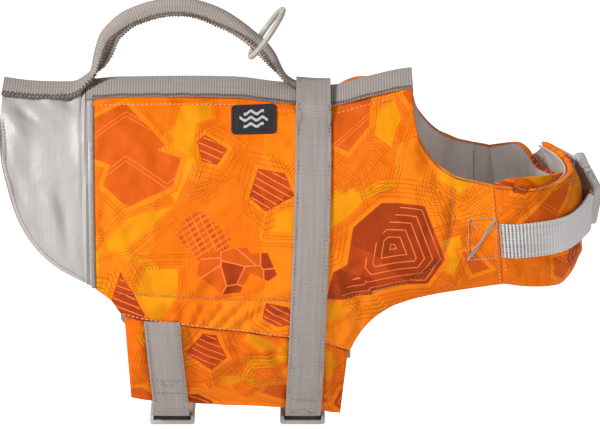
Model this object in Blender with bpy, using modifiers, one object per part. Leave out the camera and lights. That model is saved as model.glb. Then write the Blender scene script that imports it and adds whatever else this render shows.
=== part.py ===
"""Dog life jacket in its worn shape, with nobody in it. Metres, +X towards the neck, +Z up, -Y the dog's right side."""

import math

import bmesh
import bpy
from mathutils import Matrix, Vector

MM = 0.001
NAME = "dog_life_jacket"

# ---------------------------------------------------------------- driving dimensions, in millimetres
# Heights in the tables are below (-) or above (+) the top of the spine band at the middle of the back.
BAND_TOP = 9.3  # the band's top over the origin, which is on the inner face of the lining
SEAM_GAP = 0.3  # between pieces that are sewn together
PANEL = 5.0  # foam panel: two faces of nylon with foam between
LINING = 1.1
THIN_PANEL = 2.4  # rear panel and belly flap, two layers of nylon
WEBBING = 1.5
STRAP_WIDTH = 25.0
STRAP_CLEAR = 0.6  # a strap's lower face above the panel it lies on
BAND_ENDS = (-79.2, 145.6)  # stations
BAND_DROP = 2.8  # the band's edge, as the square root of its depth below the ridge

# The garment's outer face: half width at each depth below the ridge, one row for each station along the back.
DEPTHS = (0, 12, 30, 60, 90, 120, 150, 190, 230, 255)
HALF_WIDTHS = (
    # station, half width at each of DEPTHS
    (-146, (0, 24, 40, 52, 58, 60, 58, 50, 40, 32)),
    (-80, (0, 26, 43, 58, 65, 67, 64, 56, 44, 36)),
    (0, (0, 28, 46, 62, 71, 75, 74, 66, 50, 40)),
    (75, (0, 28, 47, 64, 73, 77, 76, 68, 50, 40)),
    (120, (0, 28, 46, 62, 69, 70, 67, 62, 48, 38)),
    (150, (0, 28, 44, 58, 65, 65, 58, 52, 44, 36)),
    (178, (0, 28, 44, 58, 62, 60, 51, 44, 40, 34)),
    (206, (0, 28, 44, 57, 62, 58, 46, 40, 36, 32)),
)
RIDGE = (
    # station, height of the band's top
    (-147, 0.7), (-124, -2.6), (-100, -3.4), (-80, -1.6), (-60, 0), (20, 0),
    (52, -3.7), (89, -6), (115, 0.4), (140, 6), (160, 7), (210, 7),
)
RIDGE_UNDER_BAND = 2.7  # from the band's top outline down to the panels' outer face at the ridge

# Cut lines of each panel: one row for each line from its top edge to its bottom edge. ON_RIDGE runs up to the spine.
ON_RIDGE = None
REAR_PANEL_LINES = (
    # top station, top height, bottom station, bottom height
    (-142.0, ON_RIDGE, -142.6, -12),
    (-138.5, ON_RIDGE, -143.6, -30),
    (-134.0, ON_RIDGE, -142.4, -50),
    (-128.0, ON_RIDGE, -138.0, -68),
    (-121.0, ON_RIDGE, -131.5, -88),
    (-111.0, ON_RIDGE, -121.0, -106),
    (-100.0, ON_RIDGE, -107.0, -120),
    (-90.0, ON_RIDGE, -92.0, -129),
    (-81.5, ON_RIDGE, -79.5, -136.5),
)
SIDE_PANEL_LINES = (
    (-78.5, ON_RIDGE, -76.0, -138),
    (-70.0, ON_RIDGE, -66.0, -146.5),
    (-62.0, ON_RIDGE, -58.0, -157),
    (-45.0, ON_RIDGE, -43.0, -160.5),
    (-22.0, ON_RIDGE, -20.0, -163),
    (0.0, ON_RIDGE, 0.0, -165),
    (20.0, ON_RIDGE, 20.0, -166.5),
    (40.0, ON_RIDGE, 40.0, -169),
    (60.0, ON_RIDGE, 60.0, -171.5),
    (75.0, ON_RIDGE, 75.0, -174),
    (89.0, ON_RIDGE, 88.0, -177),
    (100.0, ON_RIDGE, 98.0, -181),
    (108.0, ON_RIDGE, 102.5, -181.5),
    (116.0, ON_RIDGE, 106.0, -175),
    (125.0, ON_RIDGE, 112.0, -166),
    (134.0, ON_RIDGE, 120.5, -158),
    (144.0, ON_RIDGE, 129.0, -153),
    (146.0, -12, 135.0, -150.5),
    (147.5, -22, 141.0, -149),
    (150.0, -31, 147.0, -147.5),
    (154.0, -38, 153.0, -146.5),
    (160.0, -46, 160.0, -145.5),
    (168.0, -53, 168.0, -144.5),
    (178.0, -58, 178.0, -143.5),
    (190.0, -61, 192.0, -142),
    (202.2, -64, 209.4, -140),
)
BELLY_FLAP_LINES = (
    (-57.0, -158.5, -53.0, -223),
    (-43.0, -161.0, -41.0, -225),
    (-20.0, -163.5, -18.0, -226),
    (0.0, -165.5, 0.0, -227),
    (20.0, -167.0, 20.0, -228),
    (40.0, -169.5, 40.0, -228.5),
    (60.0, -172.0, 60.0, -229.5),
    (75.0, -174.5, 74.0, -230.5),
    (88.0, -177.5, 86.0, -232),
    (101.0, -183.0, 95.5, -234),
)
FLAP_SET_IN = 1.6  # the flap is sewn behind the side panel's hem
TAPE_SET_IN = 5.4
TAPE = 1.0
TAPE_ABOVE_SEAM = 6.0
TAPE_BELOW_SEAM = 7.0
TAPE_ENDS = ((-60.0, -155.0), (103.5, -183.0))  # station and height of the seam where the tape stops
LINING_ABOVE_HEM = 9.0
LINING_BACK = 2.0  # the body lining stops this far behind the chest seam, and the chest lining this far before it
LINING_CLEAR = 0.9  # between a foam panel and its lining
PANEL_ROWS = 8
FLAP_ROWS = 4
ROW_SPREAD = 0.85  # below 1, rows are closer together near the spine
AT_RIDGE = 0.04  # the least drop a point may have, so that its normal is real

# Chest: the flaps run round from one chest seam to the other.
CHEST_SEAM_TOP = (202.5, -64)  # station, height
CHEST_SEAM_LEAN = 0.095  # the seam leans forward this much for each millimetre down
CHEST_REACH = (
    # height, how far the outer face reaches forward of the seam
    (-150, 42), (-140, 51), (-130, 56), (-120, 59), (-100, 61), (-85, 62), (-72, 60), (-60, 55), (-50, 46),
)
OUTER_FLAP_LINES = (
    # angle round from the right seam, top height, bottom height, set in
    (0, -64, -140, 0), (12, -65.5, -142, 0), (24, -67.5, -143.5, 0), (36, -68, -145, 0), (50, -67, -146.5, 0),
    (64, -65.5, -148, 0), (78, -64, -149, 0), (92, -62, -149, 0), (106, -59, -149, 0), (118, -56.5, -148.5, 0),
    (130, -55, -148, 0),
)
INNER_FLAP_LINES = (
    (180, -64, -140, 0), (172, -62.5, -142, 0), (164, -61, -144, 0), (156, -60, -145, 0.4), (149, -62, -146, 3),
    (143, -67, -147, 6.0), (137, -72, -147, 7.8), (126, -74, -147, 8.0), (114, -73, -147, 8.0), (102, -69, -147, 8.0),
    (90, -65.5, -147, 8.0), (76, -62, -146, 8.0), (62, -60, -144, 8.0), (48, -58.5, -142, 8.0), (34, -58, -140, 8.0),
    (20, -58.5, -137, 8.0), (6, -61, -132, 8.0), (-8, -66, -124, 8.0),
)
CHEST_ROWS = 6

# Straps
GIRTH_LINE = (
    # height, station of the strap's middle
    (10, 76.1), (-60, 75.8), (-150, 72.5), (-200, 70.5), (-240, 68.5),
)
REAR_LINE = ((-158, -30.5), (-190, -28.0), (-225, -25.0), (-240, -24.0))
REAR_STRAP_TOP = -160.0
HEM_HEIGHT = -229.0
STRAP_OVER_BAND = 5.0
ROWS_OVER_BACK, ROWS_ON_FLAP = 15, 5
BAND_CLEARED = (2.9, 3.9)  # the girth strap comes down from the band between these drops
UNDER_BELLY = {
    # side: points (half width, height) of a strap's lower face between the hem and its buckle
    "right": ((46.5, -234.5), (43.5, -239), (39.8, -241.2)),
    "left": ((46.5, -234.5), (42.0, -239.5), (34.0, -241.8), (26.0, -242.2), (18.6, -242.2)),
}
UNDER_LEAN = (0.35, -0.94)  # outward direction of a strap under the belly: sideways and up
CHEST_STRAP = {
    # side: rows of angle round from that side's seam (below 0, mm behind it), height of the middle, height off the chest
    "right": ((-21, -103.5, 0.6), (-7, -103.5, 0.6), (1, -103.5, 0.7), (10, -104, 0.7), (20, -104, 0.7),
              (30, -104, 0.7), (40, -104, 0.7), (50, -103.5, 0.8), (60, -102, 1.2), (70, -99, 3.0), (79, -95.5, 5.4)),
    "left": ((-21, -103.5, 0.6), (-7, -103.5, 0.6), (1, -101, 0.7), (9, -97, 0.8), (17, -92.5, 0.8),
             (25, -87, 1.2), (33, -81.5, 2.4), (41, -76.5, 4.8)),
}

# Hard pieces
BUCKLE_WIDTH = 32.0
BUCKLE_THICK = 7.5
SOCKET_LENGTH = 32.0
PLUG_LENGTH = 22.0
CHEST_SOCKET_LENGTH = 27.0
CHEST_PLUG_LENGTH = 18.0
SLOT_WIDTH = 26.0
SLOT_LENGTH = 3.6
SLOT_FROM_END = 3.4
BUCKLE_ROUND = 1.6
BELLY_BUCKLE_MIDDLE = -7.6  # across the belly, where socket and plug meet
BELLY_BUCKLE_HEIGHT = -241.6
CHEST_BUCKLE_ANGLE = 108.0
CHEST_BUCKLE_HEIGHT = -85.0
CHEST_BUCKLE_OFF = 5.4
CHEST_BUCKLE_ROLL = 24.0  # degrees that it rises towards the left side

RING_HOLE_RADIUS = 17.9
RING_TUBE_RADIUS = 2.05
RING_STATION = 37.8
RING_HEIGHT = 23.4
RING_TILT = 35.0  # the handle runs down and forward at about this angle where the ring sits
RING_OFF_AXIS = 9.5

PATCH_STATIONS = (18.5, 50.0)
PATCH_HEIGHTS = (-14.5, -31.0)
PATCH = 1.4
PATCH_CLEAR = 0.5
PIPING_RADIUS = 1.1
PIPING_PROUD = 0.2  # how far it stands out of the panels' face
PIPING_STATIONS = (-80.0, -77.8)  # at the spine and at the hem
PIPING_TOP_DROP = 3.3
PIPING_BOTTOM = -136.5

# Handle: one length of webbing, flat along the rear of the spine, then folded lengthwise into a grip.
HANDLE_SECTIONS = (
    # station, height of its middle line, half spread, right drop, left drop, how far folded
    (-142.0, ON_RIDGE, 19.0, 7.0, 7.0, 0.0),
    (-135.0, ON_RIDGE, 19.0, 6.8, 6.8, 0.0),
    (-126.0, ON_RIDGE, 19.0, 6.6, 6.6, 0.0),
    (-114.0, ON_RIDGE, 19.0, 6.4, 6.4, 0.0),
    (-102.0, ON_RIDGE, 19.0, 6.2, 6.2, 0.0),
    (-92.0, ON_RIDGE, 18.0, 5.4, 5.4, 0.0),
    (-85.5, -1.4, 14.5, 3.0, 3.0, 0.3),
    (-81.6, 2.2, 10.0, 3.4, 4.0, 0.6),
    (-79.6, 7.5, 7.0, 3.6, 8.4, 0.8),
    (-78.4, 14.5, 4.8, 4.6, 11.6, 1.0),
    (-76.2, 23.0, 4.2, 5.2, 12.8, 1.0),
    (-73.5, 30.5, 3.8, 6.2, 13.0, 1.0),
    (-68.0, 37.5, 3.6, 7.6, 13.0, 1.0),
    (-58.0, 46.0, 3.5, 9.0, 13.0, 1.0),
    (-48.0, 50.5, 3.5, 9.0, 13.0, 1.0),
    (-37.0, 54.0, 3.5, 9.0, 13.0, 1.0),
    (-24.0, 56.0, 3.5, 9.0, 13.0, 1.0),
    (-10.0, 55.5, 3.5, 9.0, 13.0, 1.0),
    (3.0, 52.0, 3.5, 9.0, 13.0, 1.0),
    (14.0, 47.0, 3.5, 9.0, 13.0, 1.0),
    (24.0, 40.5, 3.5, 7.2, 11.5, 1.0),
    (34.0, 32.5, 3.4, 5.4, 10.4, 1.0),
    (42.0, 25.5, 3.4, 5.0, 10.2, 1.0),
    (48.5, 17.0, 4.0, 4.6, 9.8, 1.0),
    (52.5, 8.5, 5.6, 3.8, 7.2, 0.8),
    (55.8, 2.0, 8.0, 2.4, 4.2, 0.5),
    (59.5, -2.2, 10.0, 1.6, 1.6, 0.1),
    (64.0, ON_RIDGE, 10.5, 1.5, 1.5, 0.0),
    (72.0, ON_RIDGE, 10.5, 1.5, 1.5, 0.0),
    (80.0, ON_RIDGE, 10.5, 1.5, 1.5, 0.0),
    (88.0, ON_RIDGE, 10.5, 1.5, 1.5, 0.0),
)
HANDLE_ROWS = 6
HANDLE_ON_REAR = SEAM_GAP + WEBBING / 2  # its middle line above the rear panel's ridge
HANDLE_ON_BAND = 2 * (SEAM_GAP + WEBBING) - WEBBING / 2  # and above the ridge where it lies on the spine band

RIGHT, LEFT = -1, 1
SIDES = (("right", RIGHT), ("left", LEFT))
MIDDLE = Vector((60, 0, -110))

COLOURS = {
    # piece: colour, roughness
    "nylon_print": ((0.93, 0.22, 0.02), 0.55),
    "nylon_silver": ((0.58, 0.55, 0.52), 0.4),
    "lining_grey": ((0.25, 0.21, 0.19), 0.7),
    "webbing_grey": ((0.36, 0.34, 0.32), 0.75),
    "acetal_grey": ((0.45, 0.41, 0.37), 0.45),
    "rubber_black": ((0.025, 0.022, 0.024), 0.6),
}


# ---------------------------------------------------------------- curves and surfaces, in millimetres
def along(table, at):
    """The value at a place in a table of (place, value) rows, on a smooth curve through them."""
    rows = sorted(table)
    places = [row[0] for row in rows]
    values = [row[1] for row in rows]
    last = len(rows) - 1
    if at <= places[0]:
        return values[0]
    if at >= places[last]:
        return values[last]
    i = max(k for k in range(last) if places[k] <= at)
    slopes = []
    for k in (i, i + 1):
        before, after = max(k - 1, 0), min(k + 1, last)
        slopes.append((values[after] - values[before]) / (places[after] - places[before]))
    step = places[i + 1] - places[i]
    t = (at - places[i]) / step
    start = (1 + 2 * t) * (1 - t) ** 2 * values[i] + t * (1 - t) ** 2 * step * slopes[0]
    end = t * t * (3 - 2 * t) * values[i + 1] + t * t * (t - 1) * step * slopes[1]
    return start + end


def ridge(station):
    """Height of the panels' outer face on the spine."""
    return along(RIDGE, station) + BAND_TOP - RIDGE_UNDER_BAND


def drop_at(station, height):
    """The square root of the depth below the ridge, which spaces points evenly over the rounded back."""
    if height is ON_RIDGE:
        return AT_RIDGE
    return math.sqrt(max(ridge(station) - height - BAND_TOP, 0))


def half_width(station, drop):
    rows = [(place, along([(math.sqrt(d), w) for d, w in zip(DEPTHS, widths)], drop)) for place, widths in HALF_WIDTHS]
    return along(rows, station)


def shell(side, station, drop):
    """A point on the outer face of the body panels."""
    return Vector((station, side * half_width(station, drop), ridge(station) - drop * drop))


def lifted(surface, first, second, lift):
    """The point of a surface at two parameters, moved out along its normal."""
    point = surface(first, second)
    step = 0.05
    along_first = surface(first + step, second) - surface(first - step, second)
    along_second = surface(first, second + step) - surface(first, max(second - step, 0) if second > 0 else second - step)
    normal = along_first.cross(along_second).normalized()
    if normal.dot(point - MIDDLE) < 0:
        normal.negate()
    return point + normal * lift


def on_body(side, station, drop, lift):
    return lifted(lambda a, b: shell(side, a, b), station, max(drop, AT_RIDGE), lift)


def chest_seam(height):
    return CHEST_SEAM_TOP[0] + (CHEST_SEAM_TOP[1] - height) * CHEST_SEAM_LEAN


def chest(angle, height):
    """A point on the outer face of the chest: angle 0 is the right seam, 180 the left one."""
    seam = chest_seam(height)
    turn = math.radians(angle)
    width = half_width(seam, drop_at(seam, height))
    forward = along(CHEST_REACH, height) * math.sin(turn)
    return Vector((seam + SEAM_GAP + forward, -width * math.cos(turn), height + BAND_TOP))


def on_chest(angle, height, lift):
    return lifted(chest, angle, height, lift)


def on_front(side, round_by, height, lift):
    """A strap's point: behind the chest seam on the side panel, in mm, or in front of it on the chest, in degrees."""
    if round_by < 0:
        station = chest_seam(height) + round_by
        return on_body(side, station, drop_at(station, height), lift)
    return on_chest(round_by if side == RIGHT else 180 - round_by, height, lift)


# ---------------------------------------------------------------- building
def clear_scene():
    for old in list(bpy.data.objects):
        bpy.data.objects.remove(old, do_unlink=True)


def new_collection(name):
    made = bpy.data.collections.new(name)
    bpy.context.scene.collection.children.link(made)
    return made


def finish_colour(name):
    made = bpy.data.materials.get(name)
    if made is None:
        colour, roughness = COLOURS[name]
        made = bpy.data.materials.new(name)
        made.use_nodes = True
        shader = made.node_tree.nodes["Principled BSDF"]
        shader.inputs["Base Color"].default_value = (*colour, 1)
        shader.inputs["Roughness"].default_value = roughness
    return made


def keep(made, finish, collection):
    """Puts an object in the part's collection only, with its own material."""
    for old in list(made.users_collection):
        old.objects.unlink(made)
    collection.objects.link(made)
    own = finish_colour(finish).copy()
    own.name = made.name
    made.data.materials.clear()
    made.data.materials.append(own)
    return made


def wall(name, columns, rows, place, outer, inner, finish, collection):
    """A closed wall: a grid of columns by rows, extruded, with every corner placed by place(column, row, lift)."""
    mesh = bmesh.new()
    bmesh.ops.create_grid(mesh, x_segments=columns, y_segments=rows, size=0.5)
    made = bmesh.ops.extrude_face_region(mesh, geom=mesh.faces[:], use_keep_orig=True)
    raised = [part for part in made["geom"] if isinstance(part, bmesh.types.BMVert)]
    bmesh.ops.translate(mesh, verts=raised, vec=(0, 0, 1))
    for vert in mesh.verts:
        column = round((vert.co.x + 0.5) * columns)
        row = round((vert.co.y + 0.5) * rows)
        lift = outer if vert.co.z > 0.5 else inner
        vert.co = Vector(place(column, row, lift)) * MM
    bmesh.ops.triangulate(mesh, faces=mesh.faces[:], quad_method="SHORT_EDGE")
    bmesh.ops.recalc_face_normals(mesh, faces=mesh.faces[:])
    data = bpy.data.meshes.new(name)
    mesh.to_mesh(data)
    mesh.free()
    data.shade_smooth()
    data.set_sharp_from_angle(angle=math.radians(50))
    return keep(bpy.data.objects.new(name, data), finish, collection)


def panel_place(side, lines, rows, hem=0.0, set_in=0.0):
    """Places a panel's corners: each cut line is a column, and its rows are closer together near the top."""

    def place(column, row, lift):
        top_station, top_height, bottom_station, bottom_height = lines[column]
        share = (row / rows) ** ROW_SPREAD
        top = drop_at(top_station, top_height)
        bottom = drop_at(bottom_station, bottom_height + hem)
        station = top_station + (bottom_station - top_station) * share
        return on_body(side, station, top + (bottom - top) * share, lift - set_in)

    return place


def body_panels(parts):
    for label, side in SIDES:
        for name, lines, rows, thick, set_in, finish in (
            ("rear_panel", REAR_PANEL_LINES, PANEL_ROWS, THIN_PANEL, 0.0, "nylon_silver"),
            ("side_panel", SIDE_PANEL_LINES, PANEL_ROWS, PANEL, 0.0, "nylon_print"),
            ("belly_flap", BELLY_FLAP_LINES, FLAP_ROWS, THIN_PANEL, FLAP_SET_IN, "nylon_print"),
        ):
            place = panel_place(side, lines, rows, set_in=set_in)
            wall(f"{name}_{label}", len(lines) - 1, rows, place, 0.0, -thick, finish, parts)
        top_station, top_height, bottom_station, bottom_height = SIDE_PANEL_LINES[-1]
        front = (top_station - LINING_BACK, top_height, bottom_station - LINING_BACK, bottom_height)
        lines = (*SIDE_PANEL_LINES[:-1], front)
        place = panel_place(side, lines, PANEL_ROWS, hem=LINING_ABOVE_HEM)
        outer = -PANEL - LINING_CLEAR
        wall(f"lining_side_{label}", len(lines) - 1, PANEL_ROWS, place, outer, outer - LINING, "lining_grey", parts)


def belly_tapes(parts):
    """Tape sewn inside along the belly seam, showing at both ends."""
    ends = (TAPE_ENDS[0], *[(line[0], line[1]) for line in BELLY_FLAP_LINES], TAPE_ENDS[1])
    for label, side in SIDES:

        def place(column, row, lift, side=side):
            station, height = ends[column]
            height += TAPE_ABOVE_SEAM if row else -TAPE_BELOW_SEAM
            return on_body(side, station, drop_at(station, height), lift)

        wall(f"belly_tape_{label}", len(ends) - 1, 1, place, -TAPE_SET_IN, -TAPE_SET_IN - TAPE, "webbing_grey", parts)


def chest_flaps(parts):
    for name, lines in (("chest_flap_right", OUTER_FLAP_LINES), ("chest_flap_left", INNER_FLAP_LINES)):

        def place(column, row, lift, lines=lines):
            angle, top, bottom, set_in = lines[column]
            height = top + (bottom - top) * row / CHEST_ROWS
            return on_chest(angle, height, lift - set_in)

        columns = len(lines) - 1
        wall(name, columns, CHEST_ROWS, place, 0.0, -PANEL, "nylon_print", parts)
        toward_front = 1 if lines[0][0] < 90 else -1
        first = (lines[0][0] + LINING_BACK * toward_front, *lines[0][1:])
        lining = name.replace("chest_flap", "lining_chest")

        def lining_place(column, row, lift, place=place, own=(first, *lines[1:])):
            return place(column, row, lift, lines=own)

        outer = -PANEL - SEAM_GAP - 0.1
        wall(lining, columns, CHEST_ROWS, lining_place, outer, outer - LINING, "lining_grey", parts)


def spine_band(parts):
    stations = [BAND_ENDS[0]] + [line[0] for line in SIDE_PANEL_LINES[1:] if line[1] is ON_RIDGE] + [BAND_ENDS[1]]
    rows = 6

    def place(column, row, lift):
        across = 2 * row / rows - 1
        side = LEFT if across > 0 else RIGHT
        return on_body(side, stations[column], abs(across) * BAND_DROP, lift)

    wall("spine_band", len(stations) - 1, rows, place, SEAM_GAP + WEBBING, SEAM_GAP, "webbing_grey", parts)


def handle_frames():
    """For each section of the handle, its middle, and the direction that is up and out from its run."""
    middles = []
    for station, height, *_ in HANDLE_SECTIONS:
        if height is ON_RIDGE:
            height = ridge(station) + (HANDLE_ON_REAR if station < 0 else HANDLE_ON_BAND) - BAND_TOP
        middles.append(Vector((station, 0, height + BAND_TOP)))
    frames = []
    for i, middle in enumerate(middles):
        ahead = (middles[min(i + 1, len(middles) - 1)] - middles[max(i - 1, 0)]).normalized()
        frames.append((middle, Vector((-ahead.z, 0, ahead.x))))
    return frames


def handle(parts):
    frames = handle_frames()

    def bend(section, across):
        """A point of the folded webbing across its section: sideways, and out from its run."""
        _, _, spread, right_drop, left_drop, fold = HANDLE_SECTIONS[section]
        reach = abs(across)
        sideways = math.copysign(spread * (1 - (1 - reach) ** (1 + 2 * fold)), across)
        drop = right_drop if across < 0 else left_drop
        return Vector((sideways, -drop * reach ** (2 - 0.7 * fold)))

    def place(column, row, lift):
        middle, out = frames[column]
        across = 2 * row / HANDLE_ROWS - 1
        step = 0.02
        tangent = bend(column, min(across + step, 1)) - bend(column, max(across - step, -1))
        normal = Vector((-tangent.y, tangent.x)).normalized()
        point = bend(column, across) + normal * lift
        return middle + Vector((0, point.x, 0)) + out * point.y

    wall("handle", len(frames) - 1, HANDLE_ROWS, place, WEBBING / 2, -WEBBING / 2, "webbing_grey", parts)


def strap_rows(label, top_height, line, over_band):
    """A strap's rows down one side: (drop or None, height of the row, point under the belly or None)."""
    middle = along(line, top_height)
    top = 0.0 if over_band else drop_at(middle, top_height)
    bottom = drop_at(along(line, HEM_HEIGHT), HEM_HEIGHT)
    count = ROWS_OVER_BACK if over_band else ROWS_ON_FLAP
    rows = [("body", top + (bottom - top) * (k / count) ** ROW_SPREAD) for k in range(count + 1)]
    return rows + [("under", point) for point in UNDER_BELLY[label]]


def strap_place(side, row, line, across, lift):
    """A point of a strap that runs down the body and under the belly."""
    kind, where = row
    if kind == "body":
        height = ridge(76) - where * where - BAND_TOP
        station = along(line, height) + across
        low, high = BAND_CLEARED
        clear = STRAP_CLEAR
        if line is GIRTH_LINE:
            share = min(max((where - low) / (high - low), 0), 1)
            clear = STRAP_OVER_BAND + (STRAP_CLEAR - STRAP_OVER_BAND) * share * share * (3 - 2 * share)
        return on_body(side, station, where, lift + clear)
    half, height = where
    return Vector((along(line, height) + across, side * half, height + BAND_TOP)) + Vector((0, side * UNDER_LEAN[0], UNDER_LEAN[1])) * lift


def down_straps(parts):
    half = STRAP_WIDTH / 2
    right = strap_rows("right", 10, GIRTH_LINE, True)
    left = strap_rows("left", 10, GIRTH_LINE, True)
    rows = [(RIGHT, row) for row in reversed(right)] + [(LEFT, row) for row in left[1:]]

    def girth(column, row, lift):
        side, where = rows[row]
        return strap_place(side, where, GIRTH_LINE, half * (column - 1), lift)

    wall("girth_strap", 2, len(rows) - 1, girth, WEBBING, 0.0, "webbing_grey", parts)
    for label, side in SIDES:
        own = strap_rows(label, REAR_STRAP_TOP, REAR_LINE, False)

        def rear(column, row, lift, side=side, own=own):
            return strap_place(side, own[row], REAR_LINE, half * (column - 1), lift)

        wall(f"rear_strap_{label}", 2, len(own) - 1, rear, WEBBING, 0.0, "webbing_grey", parts)


def chest_straps(parts):
    for label, side in SIDES:
        lines = CHEST_STRAP[label]

        def place(column, row, lift, side=side, lines=lines):
            round_by, height, off = lines[column]
            return on_front(side, round_by, height + STRAP_WIDTH * (row / 2 - 0.5), lift + off)

        wall(f"chest_strap_{label}", len(lines) - 1, 2, place, WEBBING, 0.0, "webbing_grey", parts)


def block(name, size, centre, collection):
    bpy.ops.mesh.primitive_cube_add(size=1)
    made = bpy.context.object
    made.name = name
    made.data.transform(Matrix.Translation(Vector(centre) * MM) @ Matrix.Diagonal((*(Vector(size) * MM), 1)))
    for old in list(made.users_collection):
        old.objects.unlink(made)
    collection.objects.link(made)
    return made


def buckle_half(name, start, end, turn, parts, cutters):
    """One half of a closed side-release buckle: its length runs along local Y, with a webbing slot at its outer end."""
    middle = (start + end) / 2
    made = block(name, (BUCKLE_WIDTH, abs(end - start), BUCKLE_THICK), (0, middle, 0), parts)
    edge = made.modifiers.new("rounded_edges", "BEVEL")
    edge.width = BUCKLE_ROUND * MM
    edge.segments = 1
    inward = math.copysign(1, middle)
    slot_at = (end if abs(end) > abs(start) else start) - inward * (SLOT_FROM_END + SLOT_LENGTH / 2)
    cutter = block(f"slot_{name}", (SLOT_WIDTH, SLOT_LENGTH, BUCKLE_THICK * 2), (0, slot_at, 0), cutters)
    cutter.hide_render = True
    cutter.display_type = "WIRE"
    cut = made.modifiers.new("webbing_slot", "BOOLEAN")
    cut.operation = "DIFFERENCE"
    cut.object = cutter
    cutter.matrix_world = turn
    made.matrix_world = turn
    return keep(made, "acetal_grey", parts)


def buckles(parts, cutters):
    half_gap = SEAM_GAP / 2
    for label, line in (("front", GIRTH_LINE), ("rear", REAR_LINE)):
        at = Vector((along(line, BELLY_BUCKLE_HEIGHT), BELLY_BUCKLE_MIDDLE, BELLY_BUCKLE_HEIGHT + BAND_TOP)) * MM
        turn = Matrix.Translation(at)
        buckle_half(f"belly_socket_{label}", -SOCKET_LENGTH + half_gap, -half_gap, turn, parts, cutters)
        buckle_half(f"belly_plug_{label}", half_gap, PLUG_LENGTH, turn, parts, cutters)
    at = on_chest(CHEST_BUCKLE_ANGLE, CHEST_BUCKLE_HEIGHT, CHEST_BUCKLE_OFF)
    ahead = chest(CHEST_BUCKLE_ANGLE + 1, CHEST_BUCKLE_HEIGHT) - chest(CHEST_BUCKLE_ANGLE - 1, CHEST_BUCKLE_HEIGHT)
    ahead.normalize()
    rise = math.radians(CHEST_BUCKLE_ROLL)
    ahead = (ahead * math.cos(rise) + Vector((0, 0, math.sin(rise)))).normalized()
    out = Vector((0, 0, 1)).cross(ahead).normalized() * -1
    wide = ahead.cross(out)
    turn = Matrix.Translation(at * MM) @ Matrix((wide, ahead, out)).transposed().to_4x4()
    buckle_half("chest_socket", -CHEST_SOCKET_LENGTH, -half_gap, turn, parts, cutters)
    buckle_half("chest_plug", half_gap, CHEST_PLUG_LENGTH, turn, parts, cutters)


def patch(parts):
    columns, rows = 4, 3

    def place(column, row, lift):
        station = PATCH_STATIONS[0] + (PATCH_STATIONS[1] - PATCH_STATIONS[0]) * column / columns
        height = PATCH_HEIGHTS[0] + (PATCH_HEIGHTS[1] - PATCH_HEIGHTS[0]) * row / rows
        return on_body(RIGHT, station, drop_at(station, height), lift + PATCH_CLEAR)

    wall("label_patch", columns, rows, place, PATCH, 0.0, "rubber_black", parts)


def pipings(parts):
    """Corded seam between the rear panel and the side panel, from the spine band down to the hem."""
    steps = 12
    for label, side in SIDES:
        curve = bpy.data.curves.new(f"piping_{label}", "CURVE")
        curve.dimensions = "3D"
        curve.bevel_depth = PIPING_RADIUS * MM
        curve.bevel_resolution = 1
        curve.use_fill_caps = True
        spline = curve.splines.new("POLY")
        spline.points.add(steps)
        bottom = drop_at(PIPING_STATIONS[1], PIPING_BOTTOM)
        for step, point in enumerate(spline.points):
            drop = PIPING_TOP_DROP + (bottom - PIPING_TOP_DROP) * step / steps
            station = PIPING_STATIONS[0] + (PIPING_STATIONS[1] - PIPING_STATIONS[0]) * drop / bottom
            point.co = (*(on_body(side, station, drop, PIPING_PROUD - PIPING_RADIUS) * MM), 1)
        keep(bpy.data.objects.new(f"piping_{label}", curve), "nylon_silver", parts)


def handle_ring(parts):
    """Ring on the handle's webbing. Its empty sits on the hinge axis, which follows the webbing."""
    tilt = math.radians(RING_TILT)
    axis = Vector((math.cos(tilt), 0, -math.sin(tilt)))
    up = Vector((math.sin(tilt), 0, math.cos(tilt)))
    pivot = bpy.data.objects.new("ring_pivot", None)
    pivot.matrix_world = Matrix.Translation(Vector((RING_STATION, 0, RING_HEIGHT + BAND_TOP)) * MM)
    parts.objects.link(pivot)
    bpy.ops.mesh.primitive_torus_add(
        major_radius=(RING_HOLE_RADIUS + RING_TUBE_RADIUS) * MM,
        minor_radius=RING_TUBE_RADIUS * MM,
        major_segments=28,
        minor_segments=8,
    )
    ring = bpy.context.object
    ring.name = "handle_ring"
    ring.data.shade_smooth()
    keep(ring, "acetal_grey", parts)
    ring.parent = pivot
    ring.rotation_euler = axis.to_track_quat("Z", "Y").to_euler()
    ring.location = up * RING_OFF_AXIS * MM
    return ring


def build():
    clear_scene()
    parts = new_collection(NAME)
    cutters = new_collection("cutters")
    body_panels(parts)
    belly_tapes(parts)
    chest_flaps(parts)
    spine_band(parts)
    handle(parts)
    down_straps(parts)
    chest_straps(parts)
    buckles(parts, cutters)
    patch(parts)
    pipings(parts)
    handle_ring(parts)


build()
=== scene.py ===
"""Looks of the dog life jacket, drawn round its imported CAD. Sizes are in millimetres until a mesh is made."""

import functools
import math

import bmesh
import bpy
import numpy as np
from mathutils import Matrix, Vector


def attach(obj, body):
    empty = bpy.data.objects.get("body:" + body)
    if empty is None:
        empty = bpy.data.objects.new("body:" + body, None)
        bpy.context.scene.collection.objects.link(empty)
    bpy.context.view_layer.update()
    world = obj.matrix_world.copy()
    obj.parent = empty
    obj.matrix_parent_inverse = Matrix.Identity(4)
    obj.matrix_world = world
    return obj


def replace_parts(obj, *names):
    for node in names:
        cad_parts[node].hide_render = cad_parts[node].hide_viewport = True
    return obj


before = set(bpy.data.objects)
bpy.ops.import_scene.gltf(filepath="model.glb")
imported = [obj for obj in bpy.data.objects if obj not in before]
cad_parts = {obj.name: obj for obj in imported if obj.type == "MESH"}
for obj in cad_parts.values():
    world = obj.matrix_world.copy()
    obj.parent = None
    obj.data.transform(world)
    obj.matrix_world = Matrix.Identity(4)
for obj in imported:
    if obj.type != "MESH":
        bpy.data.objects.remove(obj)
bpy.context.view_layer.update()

MM = 0.001
RIGHT, LEFT = -1, 1
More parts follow.
